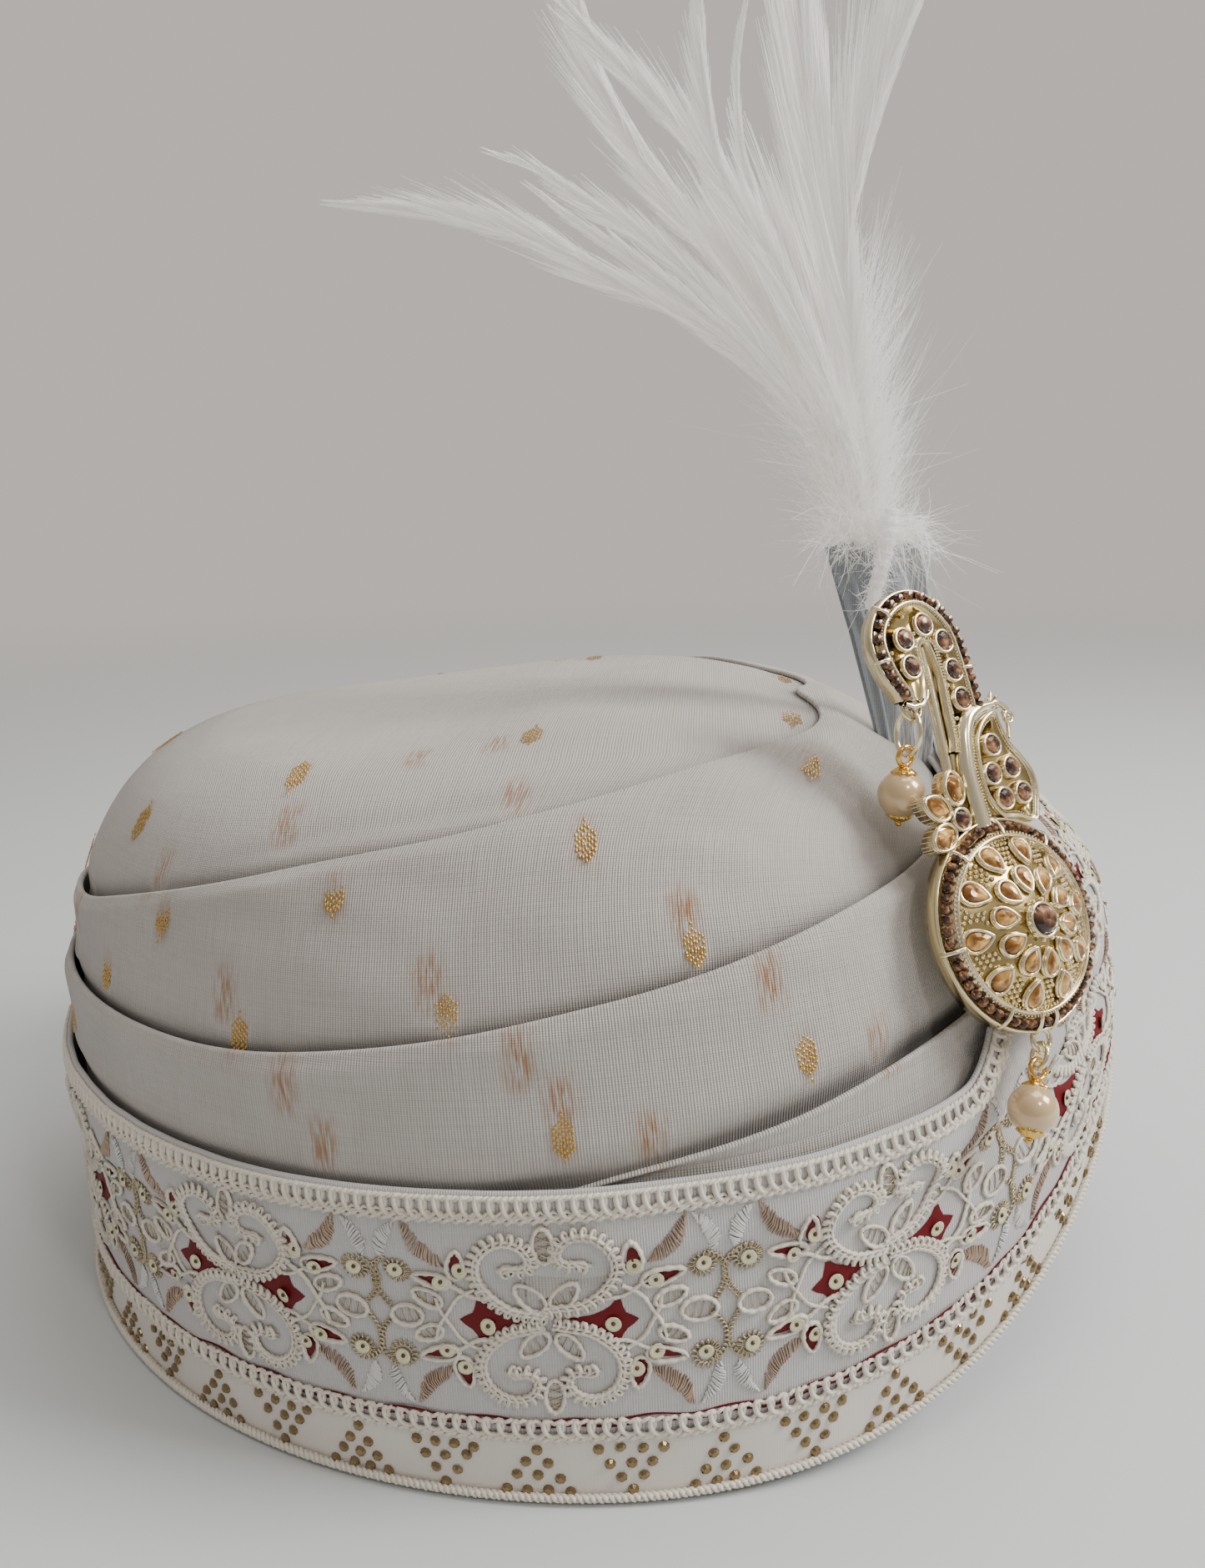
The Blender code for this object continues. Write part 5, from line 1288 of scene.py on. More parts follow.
def rail(line, profile, count=90):
    """A profile carried along a line of (right, up, half width) rows.

    A profile row is (share of the half width, shift in mm, out); the positive
    side is the right-hand one of the way along the line.
    """
    path = curve_through(line, count)
    along, left = side_of(path[:, :2])
    rows = np.array(profile, float)
    across = rows[:, :1] * path[:, 2] + rows[:, 1:2]
    points = path[None, :, :2] - left[None] * across[..., None]
    points = np.concatenate([points, np.broadcast_to(rows[:, 2, None, None], across.shape + (1,))], axis=-1)
    return points.reshape(-1, 3), grid_quads(len(rows), count, True, False)


def beside(line, share, shift, out, count=90, start=0.0, end=1.0):
    """Path beside a rail's line, at a share of the half width plus a shift."""
    path = curve_through(line, 400)
    pick = np.linspace(start, end, count) * 399
    path = np.stack([np.interp(pick, np.arange(400), path[:, k]) for k in range(3)], axis=-1)
    along, left = side_of(path[:, :2])
    place = path[:, :2] - left * (share * path[:, 2] + shift)[:, None]
    return np.column_stack([place, np.full(count, out)])


def plate(outline, bottom, top, bevel):
    """Plate over an outline: wall, small bevel and a flat top drawn in to its middle."""
    outline = np.asarray(outline, float)
    middle = outline.mean(axis=0)
    rows = []
    for share, out in ((0.02, bottom), (1.0, bottom), (1.0, top - bevel), (1.0 - bevel / 8, top), (0.5, top), (0.02, top)):
        rows.append(level(middle + (outline - middle) * share, out))
    return np.concatenate(rows), grid_quads(6, len(outline), False, True)


def collar(outline, scale, out, radius, sides=6):
    """Raised metal edge round a stone."""
    outline = np.asarray(outline, float)
    middle = outline.mean(axis=0)
    return wire(level(middle + (outline - middle) * scale, out), radius, sides, True)


def milgrain(path, pitch, radius):
    """Row of tiny balls along a path at an even pitch."""
    reach = np.concatenate([[0.0], np.cumsum(np.linalg.norm(np.diff(path, axis=0), axis=1))])
    count = max(int(reach[-1] / pitch), 2)
    at = np.linspace(0.0, reach[-1], count)
    spots = np.stack([np.interp(at, reach, path[:, k]) for k in range(3)], axis=-1)
    return balls(spots, radius, 6, 4)


def granulation():
    """Balls over the dome in the clefts of the outer stones: a close triangular grid."""
    row, column = np.meshgrid(np.arange(-18, 19), np.arange(-18, 19), indexing="ij")
    x = (column + 0.5 * (row % 2)).ravel() * 1.12
    y = row.ravel() * 0.97
    radius, turn = np.hypot(x, y), np.degrees(np.arctan2(y, x))
    keep = (radius > 10.3) & (radius < 15.9)
    for ring, start, size in (INNER_RING, OUTER_RING):
        gap = (turn - start + 18.0) % 36.0 - 18.0
        along = radius * np.cos(np.radians(gap)) - ring
        across = radius * np.sin(np.radians(gap))
        keep &= (along / (3.5 * size)) ** 2 + (across / (2.7 * size)) ** 2 > 1.0
    x, y, radius = x[keep], y[keep], radius[keep]
    return balls(np.stack([x, y, dome_out(radius) + 0.25], axis=-1), 0.52, 7, 4)


def build_medallion():
    """Wall, stone channel, raised ridge, dome, collars and prongs of the medallion."""
    profile = [(0.01, -2.8), (20.2, -2.8), (20.9, -2.5), (20.9, -0.1), (20.7, 0.5), (20.3, 0.6), (20.1, 0.0),
               (17.8, 0.2), (17.6, 2.3), (17.2, 2.55), (16.8, 2.3), (16.6, 1.1)]
    profile += [(r, float(dome_out(r))) for r in np.linspace(16.3, 0.01, 16)]
    parts = [turned(profile, 120), granulation()]
    parts += [wire(circle((0, 0), 17.2, 110, 2.5), 0.36, 6, True), wire(circle((0, 0), 20.6, 120, 0.5), 0.34, 6, True)]
    parts += [balls(circle((0, 0), 17.75, 130, 2.15), 0.30, 6, 4), balls(circle((0, 0), 16.45, 110, 1.9), 0.28, 6, 4)]
    for ring, start, size in (INNER_RING, OUTER_RING):
        outline = tear(5.2 * size, 3.9 * size, 28)
        collars = (collar(outline, 1.04, 0.95, 0.36), collar(outline, 1.06, 0.35, 0.42))
        parts += [seat_at(part, start + 36.0 * k, ring) for k in range(10) for part in collars]
    parts += [wire(circle((0, 0), 3.25, 40, DOME + h), 0.38, 6, True) for h in (0.1, 0.7, 1.2)]
    parts.append(balls(circle((0, 0), 3.9, 10, DOME + 0.8), 0.5))
    for degrees in PRONGS:
        c, s = math.cos(math.radians(degrees)), math.sin(math.radians(degrees))
        arch = ((17.3, 2.6), (18.3, 2.5), (19.6, 1.9), (20.6, 1.0), (21.0, -0.2))
        parts.append(wire([(r * c, r * s, z) for r, z in arch], 0.45))
    return parts


def build_hook():
    """Hook with its stone channel, ridge, slot edging, loop arms and prongs."""
    profile = ((1, 0.0, -2.2), (1, 0.0, 0.3), (1, -0.4, 0.5), (1, -0.6, 0.0), (1, -2.5, 0.0), (1, -2.6, 1.2),
               (1, -3.0, 1.3), (1, -3.2, 0.0), (-1, 0.7, 0.0), (-1, 0.4, 0.7), (-1, 0.0, 0.6), (-1, 0.0, -2.2))
    parts = [rail(HOOK, profile), wire(beside(HOOK, 1, -2.8, 1.3), 0.36), wire(beside(HOOK, 1, -0.3, 0.45), 0.34)]
    parts += [milgrain(beside(HOOK, 1, -3.25, 1.1), 0.62, 0.27), milgrain(beside(HOOK, 1, -2.35, 1.1), 0.62, 0.22)]
    edge = curve_through(SLOT, 110)
    along, left = side_of(edge)
    for shift, out, size in ((0.0, 0.75, 0.33), (0.62, 0.7, 0.27)):
        parts.append(milgrain(np.column_stack([edge + left * shift, np.full(110, out)]), 0.62, size))
    low = edge[62:]
    strip = [np.column_stack([low + left[62:] * shift, np.full(len(low), out)]) for shift, out in ((-0.3, -1.6), (-0.3, 0.5), (1.3, 0.5), (1.3, -1.6))]
    parts.append((np.concatenate(strip), grid_quads(4, len(low), True, False)))
    parts.append(rail(BAR, ((1, 0, -2.4), (1, 0, -1.2), (0.3, 0, -0.8), (-0.3, 0, -0.8), (-1, 0, -1.2), (-1, 0, -2.4)), 40))
    for at in (0.19, 0.44, 0.66, 0.80):
        steps = ((-3.0, 1.3), (-1.6, 2.0), (0.1, 1.0), (1.4, 0.6))
        crossing = [beside(HOOK, 1, shift, out, 400)[int(at * 399)] for shift, out in steps]
        parts.append(wire(crossing, np.array([0.45, 0.5, 0.42, 0.1])))
    for x, y in HOOK_STONES:
        parts += [wire(circle((x, y), STONE * 1.13, 30, out), 0.33, 6, True) for out in (0.25, 0.8)]
    beads = ((-8.0, 63.2), (-13.3, 56.2), (-0.9, 48.4), (-0.9, 41.6), (-1.2, 39.9), (-6.3, 59.6), (1.0, 54.3), (-12.4, 62.0))
    parts.append(balls([(x, y, 0.4) for x, y in beads], 0.5))
    parts.append(wire([(-13.2, 46.0, 0.3), (-11.5, 45.2, 0.5), (-9.2, 45.3, 0.6), (-7.6, 46.5, 0.6), (-6.9, 47.9, 0.5)], 0.55))
    return parts


def build_wing():
    """Polished neck, its curled head, and the wing with its rim and stone collars."""
    arc = np.linspace(0.0, math.pi, 9)
    profile = [(math.cos(t), 0.0, -0.3 + 2.1 * math.sin(t)) for t in arc] + [(-1, 0.0, -2.5), (1, 0.0, -2.5)]
    parts = [rail(NECK, profile, 60), milgrain(beside(NECK, 1, 0.5, 0.3, 60, 0.0, 0.85), 0.6, 0.28)]
    wing = curve_through(WING, 110, True)
    middle = wing.mean(axis=0)
    rows = ((0.02, -2.4), (1.0, -2.4), (1.0, 0.7), (0.94, 0.7), (0.91, -0.3), (0.5, -0.3), (0.02, -0.3))
    rings = [level(middle + (wing - middle) * share, out) for share, out in rows]
    parts.append((np.concatenate(rings), grid_quads(7, len(wing), False, True)))
    parts += [wire(level(wing, 0.75), 0.38, 7, True), wire(level(middle + (wing - middle) * 1.01, -0.7), 0.3, 6, True)]
    inset = level(middle + (wing - middle) * 0.90, 0.35)
    parts.append(milgrain(np.concatenate([inset, inset[:1]]), 0.62, 0.25))
    for x, y in WING_STONES:
        parts += [wire(circle((x, y), STONE * 1.08, 30, out), 0.33, 6, True) for out in (-0.2, 0.25, 0.7)]
    parts += [wire(circle((13.6, 40.2), 1.15, 24, 0.2), 0.42, 6, True), balls([(13.6, 40.2, 0.2)], 0.6)]
    parts += [wire([(8.8, 43.4, -0.2), (10.9, 43.8, 0.1), (12.6, 42.9, 0.2), (13.8, 41.6, 0.2)], 0.62),
              wire([(9.4, 43.6, 0.0), (10.1, 45.0, 0.2), (10.4, 46.0, 0.3)], np.array([0.6, 0.45, 0.12])),
              wire([(13.2, 39.0, 0.0), (12.9, 37.6, 0.0), (12.2, 36.0, 0.1)], 0.42)]
    parts.append(balls([(8.6, 44.3, 0.6), (9.6, 42.6, 0.8), (11.0, 42.4, 0.4), (11.6, 44.5, 0.2), (12.4, 41.2, 0.3)], 0.5))
    return parts


def build_flower():
    """Three petals with ribbed walls round a brown stone's collar."""
    parts = []
    t = np.linspace(0.0, 2.0 * math.pi, 36, endpoint=False)
    for turn in PETAL_TURNS:
        c, s = math.cos(math.radians(turn)), math.sin(math.radians(turn))
        x, y = 3.6 * np.cos(t), 2.6 * np.sin(t) * (1.0 - 0.25 * np.maximum(np.cos(t), 0.0))
        outline = np.stack([FLOWER[0] + 6.2 * c + x * c - y * s, FLOWER[1] + 6.2 * s + x * s + y * c], axis=-1)
        parts += [plate(outline, -2.8, 0.3, 0.2), collar(outline, 0.92, 0.75, 0.4), collar(outline, 0.95, 0.3, 0.42)]
        ribs = [[(*point, -2.7), (*point, -1.2), (*point, 0.4)] for point in outline[::2]]
        parts.append(tubes(np.array(ribs), np.broadcast_to([1.0, 0.1, 0.0], (18, 3, 3)), 0.16, 4))
    parts += [plate(circle(FLOWER, 2.4, 30)[:, :2], -2.3, 0.3, 0.2), wire(circle(FLOWER, 2.15, 30, 0.8), 0.38, 6, True)]
    return parts


def build_metal():
    """All pale gold metal of the brooch, with the two soldered loops.

    Its tint, painted shade that darkens the gold, is 1 low in the channels and on the dome's ground, and 0 from 0.45 mm
    up.
    """
    parts = build_medallion() + build_hook() + build_wing() + build_flower()
    parts += [wire(circle(loop, 2.3, 30, loop[2]), 0.58, 8, True) for loop, _ in DROPS]
    verts, quads = gather(parts)
    radius = np.hypot(verts[:, 0], verts[:, 1])
    above = verts[:, 2] - np.where(radius < FIELD, dome_out(radius), 0.1)
    return on_brooch(verts), quads, None, smooth((0.45 - above) / 0.45) * (above > -0.75)


def glints(parts, dice):
    """Tint of every corner of some gems, as painted glints: a lit side and a shaded side in each row of facets."""
    tints = []
    for points, _ in parts:
        column = 2.0 * math.pi * np.arange(len(points) // 5) / (len(points) // 5)
        phase = dice.uniform(0.0, 2.0 * math.pi) + dice.normal(0.0, 0.8, (5, 1))
        tints.append((0.5 + 0.4 * np.sin(column + phase) + dice.uniform(-0.35, 0.35, (5, len(column)))).ravel())
    return np.clip(np.concatenate(tints), 0.0, 1.0)


def build_brown():
    """Brown cut stones: both halos, the centre, hook, wing and flower centre."""
    small = circle((0, 0), 1.03, 8)[:, :2]
    spots = circle((0, 0), 19.15, HALO_COUNT, 0.85)
    spots = np.concatenate([spots, beside(HOOK, 1, -1.4, 0.65, HOOK_HALO_COUNT, 0.02, 0.975)])
    stones = [moved(gem(small, 1.3), spot) for spot in spots]
    big = circle((0, 0), STONE, 12)[:, :2]
    stones += [moved(gem(big, 1.4), (x, y, 0.35)) for x, y in HOOK_STONES]
    stones += [moved(gem(big * 0.95, 1.4), (x, y, 0.15)) for x, y in WING_STONES]
    stones.append(moved(gem(big * 0.95, 1.4), (*FLOWER, 0.45)))
    stones.append(moved(gem(circle((0, 0), 3.1, 16)[:, :2], 2.1, 0.58), (0, 0, DOME + 0.45)))
    verts, quads = gather(stones)
    return on_brooch(verts), quads, None, glints(stones, np.random.default_rng(8))


def build_amber():
    """Amber teardrops: two rings on the dome and three in the petals."""
    stones = []
    for ring, start, size in (INNER_RING, OUTER_RING):
        cut = moved(gem(tear(5.1 * size, 3.8 * size, 14), 1.5, 0.42), (0, 0, 0.3))
        stones += [seat_at(cut, start + 36.0 * k, ring) for k in range(10)]
    for turn in PETAL_TURNS:
        c, s = math.cos(math.radians(turn)), math.sin(math.radians(turn))
        points, quads = gem(tear(5.6, 4.0, 14), 1.4, 0.42)
        x, y = points[:, 0] * c - points[:, 1] * s, points[:, 0] * s + points[:, 1] * c
        stones.append((np.stack([x + FLOWER[0] + 6.2 * c, y + FLOWER[1] + 6.2 * s, points[:, 2] + 0.45], axis=-1), quads))
    verts, quads = gather(stones)
    return on_brooch(verts), quads, None, glints(stones, np.random.default_rng(9))


def drop_frame(loop, bead):
    """Directions of a hanging drop: across, out and down from its loop to its bead."""
    loop, bead = np.array(loop, float), np.array(bead, float)
    down = unit(bead - loop)
    across = unit(np.cross(down, [0.0, 0.0, 1.0]))
    return across, np.cross(across, down), down


def in_drop(part, bead, frame):
    """A part about the down axis, moved to its bead."""
    points, quads = part
    across, out, down = frame
    return np.array(bead) + points[:, :1] * across + points[:, 1:2] * out + points[:, 2:] * down, quads


def ring_about(centre, first, second, reach, side, wire_radius, count=36):
    """Oval wire ring in the plane of two directions."""
    t = np.linspace(0.0, 2.0 * math.pi, count, endpoint=False)[:, None]
    path = centre + first * reach * np.cos(t) + second * side * np.sin(t)
    normal = np.broadcast_to(np.cross(first, second), path.shape)
    return tubes(path[None], normal[None], wire_radius, 8, True)


def build_drops():
    """Jump rings, headpins with filigree caps, and pearls of both drops."""
    rings, pins, pearls = [], [], []
    for loop, bead in DROPS:
        frame = drop_frame(loop, bead)
        across, out, down = frame
        start, middle = np.array(loop), np.array(bead)
        eye = middle - down * (PEARL + 1.0 + 1.9)
        top, foot = start + down * (2.3 - 1.7), eye - down * (1.9 - 1.7)
        reach = np.linalg.norm(foot - top) / 2
        rings.append(ring_about((top + foot) / 2, down, out, reach, max(0.75 * reach, 1.6), 0.55))
        pins.append(ring_about(eye, down, across, 1.9, 1.9, 0.55))
        for sign in (-1.0, 1.0):
            edge = sign * (PEARL + 0.1)
            cap = ((0.05, edge + sign * 0.75), (1.0, edge + sign * 0.65), (1.7, edge + sign * 0.15), (2.5, edge - sign * 0.5), (2.3, edge - sign * 0.9))
            points, quads = turned(cap, 40)
            ruffle = 1.0 + 0.09 * np.cos(10.0 * np.arctan2(points[:, 1], points[:, 0])) * (np.hypot(points[:, 0], points[:, 1]) > 1.5)
            points = points * np.stack([ruffle, ruffle, np.ones_like(ruffle)], axis=-1)
            pins.append(in_drop((points, quads), bead, frame))
        pins.append(in_drop(balls([(0, 0, PEARL + 1.1)], 0.75, 12, 8), bead, frame))
        pins.append(in_drop(turned(((0.55, -PEARL - 1.4), (0.55, -PEARL)), 10), bead, frame))
        pearls.append(in_drop(balls([(0, 0, 0)], PEARL, 40, 24), bead, frame))
    made = []
    for group in (rings, pins, pearls):
        verts, quads = gather(group)
        made.append((on_brooch(verts), quads))
    return made


# Sleeve and plume: right, depth towards the viewer and up, in mm from their foot

STAND_AXES = np.array([[0.08603, -0.99629, 0.0], [-0.99629, -0.08603, 0.0], [0.0, 0.0, 1.0]])
STAND_PLACE = np.array([-0.01763, -0.07657, 0.12282])
PLUME_FOOT = np.array([-4.6, -3.5, 35.8])
PLUME_TOP = 167.5
# Feathers: half width in mm, depth at the tip, barbs, then points right and up in mm
FEATHERS = (
    (4.6, -15, 900, ((0, 0), (-2.6, 13), (-8.5, 28), (-18.9, 41), (-31, 52), (-42.9, 61), (-58.5, 68.5), (-71.3, 76),
                     (-83.3, 81), (-99, 85.3), (-123, 88.5))),
    (2.6, 4, 420, ((0, 0), (-2.6, 13), (-9.7, 29), (-19.4, 40), (-31.6, 53.3), (-43.5, 63), (-55, 71.5), (-65.7, 78.2),
                   (-77, 86.3))),
    (3.4, 12, 560, ((0, 0), (-2.6, 13), (-9.8, 29), (-22.4, 46), (-33.6, 58.4), (-43.6, 67.7), (-51.7, 74), (-58.7, 78),
                    (-67.3, 83.3), (-75.7, 88.6), (-84, 91.5))),
    (5.4, -22, 1150, ((0, 0), (-2.6, 13), (-8.5, 29), (-17.1, 47), (-26.4, 61.6), (-34.5, 72), (-42.7, 81), (-50.7, 91.3),
                     (-57.9, 102), (-62.3, 111), (-65.7, 121.7), (-68, 131), (-70, 138))),
    (4.0, 17, 820, ((0, 0), (-2.6, 13), (-8.9, 30), (-17, 48.6), (-24.8, 65), (-31.3, 75), (-38.6, 86.7), (-47.3, 96.3),
                    (-55.8, 104), (-63.3, 110.7), (-70.8, 118.6), (-76, 124))),
    (3.4, 30, 560, ((0, 0), (-2.6, 13), (-8.2, 31), (-18.5, 53), (-28.2, 70), (-36.5, 80.8), (-39.8, 87), (-42, 93.6),
                    (-43.6, 102), (-44.6, 113), (-45, 121))),
    (1.9, 22, 340, ((0, 0), (-2.6, 13), (-8.1, 31), (-17.3, 53), (-27, 70.4), (-32.3, 82), (-35, 90), (-36.3, 99.4),
                    (-36.3, 107), (-35.3, 114))),
    (8.8, -20, 1800, ((0, 0), (-1.6, 13), (-5.6, 31), (-9.6, 53.4), (-13.3, 73.8), (-15.4, 90.5), (-17.5, 106.4),
                      (-18.6, 120), (-19.2, 136))),
    (6.8, 10, 1300, ((0, 0), (-1.6, 13), (-4.2, 31), (-8.8, 53), (-11.8, 72.3), (-10.7, 87.5), (-7.5, 100.6), (-3.9, 111),
                    (0.4, 121), (4.5, 130))),
    (8.0, 0, 800, ((0, 0), (-3, 14), (-10, 32), (-19, 48), (-28, 62), (-36, 73))),
    (8.0, -8, 800, ((0, 0), (-2, 14), (-6, 32), (-13, 50), (-20, 66), (-25, 78))),
)
# Loose hairs that fan out: side, height where they leave, spread of height, length in mm and count
FANS = ((1.0, 48.0, 18.0, 24.0, 360), (1.0, 26.0, 10.0, 17.0, 320), (-1.0, 30.0, 12.0, 19.0, 300))


def on_stand(points):
    """Points in the stand's axes and mm, moved to the turban."""
    return np.asarray(points) @ STAND_AXES * MM + STAND_PLACE


def ribbons(paths, width, dice, facing=0.0):
    """Flat hairs along many paths, each turned at random, or mostly with its face to the viewer."""
    copies, count = paths.shape[:2]
    along = unit(np.gradient(paths, axis=1))
    side = unit(np.cross(along, unit(dice.normal(0.0, 1.0, (copies, 1, 3))) + np.array([0.0, facing, 0.0])))
    taper = np.linspace(1.0, 0.25, count)[None, :, None]
    reach = side * width[:, None, None] * taper
    verts = np.stack([paths - reach, paths + reach], axis=2)
    quads = repeat_quads(grid_quads(count, 2), count * 2, copies)
    return verts.reshape(-1, 3), quads


def feather_barbs(path, half, barbs, dice):
    """Barbs of one feather: hairs that leave the shaft and bend towards its tip.

    A hair goes from the shaft by its length times (t cos a + 0.15 t t) along the
    shaft and (t - 0.4 t t) sin a to its side; a is its angle.
    """
    at = np.sqrt(dice.uniform(0.02, 1.0, barbs)) * (len(path) - 1.001)
    low = at.astype(int)
    part = (at - low)[:, None]
    foot = path[low] * (1 - part) + path[low + 1] * part
    along = unit(path[low + 1] - path[low])
    share = at / (len(path) - 1)
    level_side = unit(np.cross(along, [0.0, 1.0, 0.0]))
    deep = np.cross(level_side, along)
    roll = dice.normal(0.0, 0.22, barbs) + np.where(dice.uniform(size=barbs) < 0.5, 0.0, math.pi)
    loose = np.clip(1.0 - share / 0.45, 0.0, 1.0)
    roll = roll + loose * dice.uniform(-2.0, 2.0, barbs)
    side = level_side * np.cos(roll)[:, None] + deep * np.sin(roll)[:, None]
    angle = np.radians(15.0 + 28.0 * loose + 6.0 * dice.normal(0.0, 1.0, barbs))
    wide = half * (0.35 + 0.65 * smooth(share / 0.3)) * smooth((1.06 - share) / 0.42)
    length = (wide * dice.uniform(0.65, 1.2, barbs) + 0.6) / np.maximum(np.sin(np.abs(angle)), 0.2)
    t = np.linspace(0.0, 1.0, 4)[None, :, None]
    a = angle[:, None, None]
    step = along[:, None] * (t * np.cos(a) + 0.15 * t * t) + side[:, None] * (t - 0.4 * t * t) * np.sin(a)
    return foot[:, None] + step * length[:, None, None]


def build_plume():
    """Eleven feathers of a shaft and barbs, over a cloud of down at their foot.

    A hair that rises o mm over PLUME_TOP is drawn down to 10 (1 - exp(-o / 10)) mm over it.
    """
    dice = np.random.default_rng(12)
    shafts, hairs = [], []
    for half, deep, barbs, points in FEATHERS:
        flat = curve_through(points, 60)
        share = np.linspace(0.0, 1.0, 60)
        path = np.column_stack([flat[:, 0], deep * share**1.3, flat[:, 1]]) + PLUME_FOOT
        radius = 0.42 * (1.0 - 0.8 * share)
        shafts.append(tubes(path[None], np.broadcast_to([0.0, 1.0, 0.0], (1, 60, 3)), radius[None], 5))
        hairs.append(feather_barbs(path, half, barbs, dice))
    parts = shafts + [ribbons(group, dice.uniform(0.12, 0.30, len(group)), dice, 1.6) for group in hairs]
    count = 2600
    share = dice.uniform(0.0, 1.0, count) ** 1.2
    foot = np.stack([-2.0 - 13.0 * share, dice.normal(0.0, 1.4, count), 4.0 + 34.0 * share], axis=-1)
    foot[:, 0] += dice.normal(0.0, 1.6, count)
    turn = dice.uniform(0.0, 2.0 * math.pi, count)
    out = np.stack([np.cos(turn), 0.8 * np.sin(turn), np.zeros(count)], axis=-1)
    rise = dice.uniform(0.1, 1.2, count)[:, None] * np.array([-0.25, 0.0, 1.0])
    heading = unit(out + rise)
    length = dice.gamma(5.0, 1.9, count) * (0.7 + 0.6 * share) + 2.0
    t = np.linspace(0.0, 1.0, 4)[None, :, None]
    droop = np.stack([dice.normal(0, 0.12, count), dice.normal(0, 0.12, count), dice.normal(0.12, 0.22, count)], axis=-1)
    paths = foot[:, None] + (heading[:, None] * t + droop[:, None] * t * t) * length[:, None, None] + PLUME_FOOT
    parts.append(ribbons(paths, dice.uniform(0.08, 0.15, count), dice))
    for hand, middle, spread, reach, number in FANS:
        height = dice.normal(middle, spread / 2, number)
        start = np.stack([-0.17 * height + hand * 1.5, dice.normal(0.0, 3.0, number), height], axis=-1)
        lean = np.radians(dice.uniform(8.0, 58.0, number)) * hand
        way = np.stack([np.sin(lean), dice.normal(0.0, 0.3, number), np.cos(lean)], axis=-1)
        bend = np.stack([-0.30 * np.sin(lean), np.zeros(number), 0.12 * np.ones(number)], axis=-1)
        size = reach * dice.uniform(0.45, 1.15, number)
        fan = start[:, None] + (way[:, None] * t + bend[:, None] * t * t) * size[:, None, None] + PLUME_FOOT
        parts.append(ribbons(fan, dice.uniform(0.07, 0.12, number), dice))
    verts, quads = gather(parts + build_stem(dice))
    over = np.maximum(verts[:, 2] - PLUME_TOP, 0.0)
    verts[:, 2] -= over - 10.0 * (1.0 - np.exp(-over / 10.0))
    return on_stand(verts), quads


def build_stem(dice):
    """Thread-wound stem in front of the sleeve, its fuzz, and down round the sleeve's top.

    The stem's radius is 1.9 + 0.25 sin(9 turns of winding) mm and thins downwards.
    """
    share = np.linspace(0.0, 1.0, 90)
    path = curve_through(((-5.6, 4.6, 55.0), (-6.2, 5.4, 47.0), (-7.6, 5.4, 40.0), (-9.0, 4.6, 33.0)), 90)
    radius = (2.3 - 0.9 * share) * (1.0 + 0.10 * np.sin(share * 62.0) + 0.05 * np.sin(share * 151.0))
    stem = tubes(path[None], np.broadcast_to([0.0, 1.0, 0.0], (1, 90, 3)), radius[None], 12)
    t = np.linspace(0.0, 1.0, 4)[None, :, None]
    fuzz = path[dice.integers(0, 90, 420)]
    way = unit(np.stack([dice.normal(0.0, 1.0, 420), np.abs(dice.normal(0.5, 0.6, 420)), dice.normal(-0.2, 0.8, 420)], axis=-1))
    fuzz = fuzz + way * 1.3
    bend = dice.normal(0.0, 0.5, (420, 3))
    size = dice.uniform(1.2, 4.5, 420)[:, None, None]
    short = fuzz[:, None] + (way[:, None] * t + bend[:, None] * t * t) * size
    count = 900
    spread = dice.uniform(0.0, 1.0, count)
    foot = np.stack([-19.5 + 22.0 * spread, 3.0 * dice.uniform(-1.0, 1.4, count), dice.normal(49.5, 2.4, count)], axis=-1)
    out = np.stack([(spread - 0.45) * 1.6 + dice.normal(0, 0.5, count), dice.normal(0.5, 0.6, count), dice.normal(0.0, 0.75, count)], axis=-1)
    curl = np.stack([dice.normal(0, 0.4, count), dice.normal(0, 0.3, count), dice.normal(-0.15, 0.4, count)], axis=-1)
    size = dice.gamma(5.0, 1.15, count)[:, None, None] + 1.5
    loose = foot[:, None] + (unit(out)[:, None] * t + curl[:, None] * t * t) * size
    return [stem, ribbons(short, dice.uniform(0.06, 0.12, 420), dice), ribbons(loose, dice.uniform(0.08, 0.15, count), dice)]


# Sleeve strips: left and right edges at four heights, depth and fold depth
SLEEVE_HEIGHT = 47.0
STRIPS = (
    ("sleeve_back", -0.6, ((0.0, -5.0, 8.0), (9.0, -7.6, 8.0), (27.0, -12.6, 7.7), (46.6, -18.8, 3.0)), 1.2),
    ("sleeve_left", 0.9, ((0.0, -4.6, -1.0), (9.0, -7.0, -2.6), (27.0, -12.0, -6.4), (45.0, -18.2, -12.2)), 0.8),
    ("sleeve_front", 1.3, ((0.0, -2.4, 7.4), (9.0, -4.0, 7.5), (27.0, -8.2, 7.2), (47.0, -13.6, 2.6)), 0.9),
)


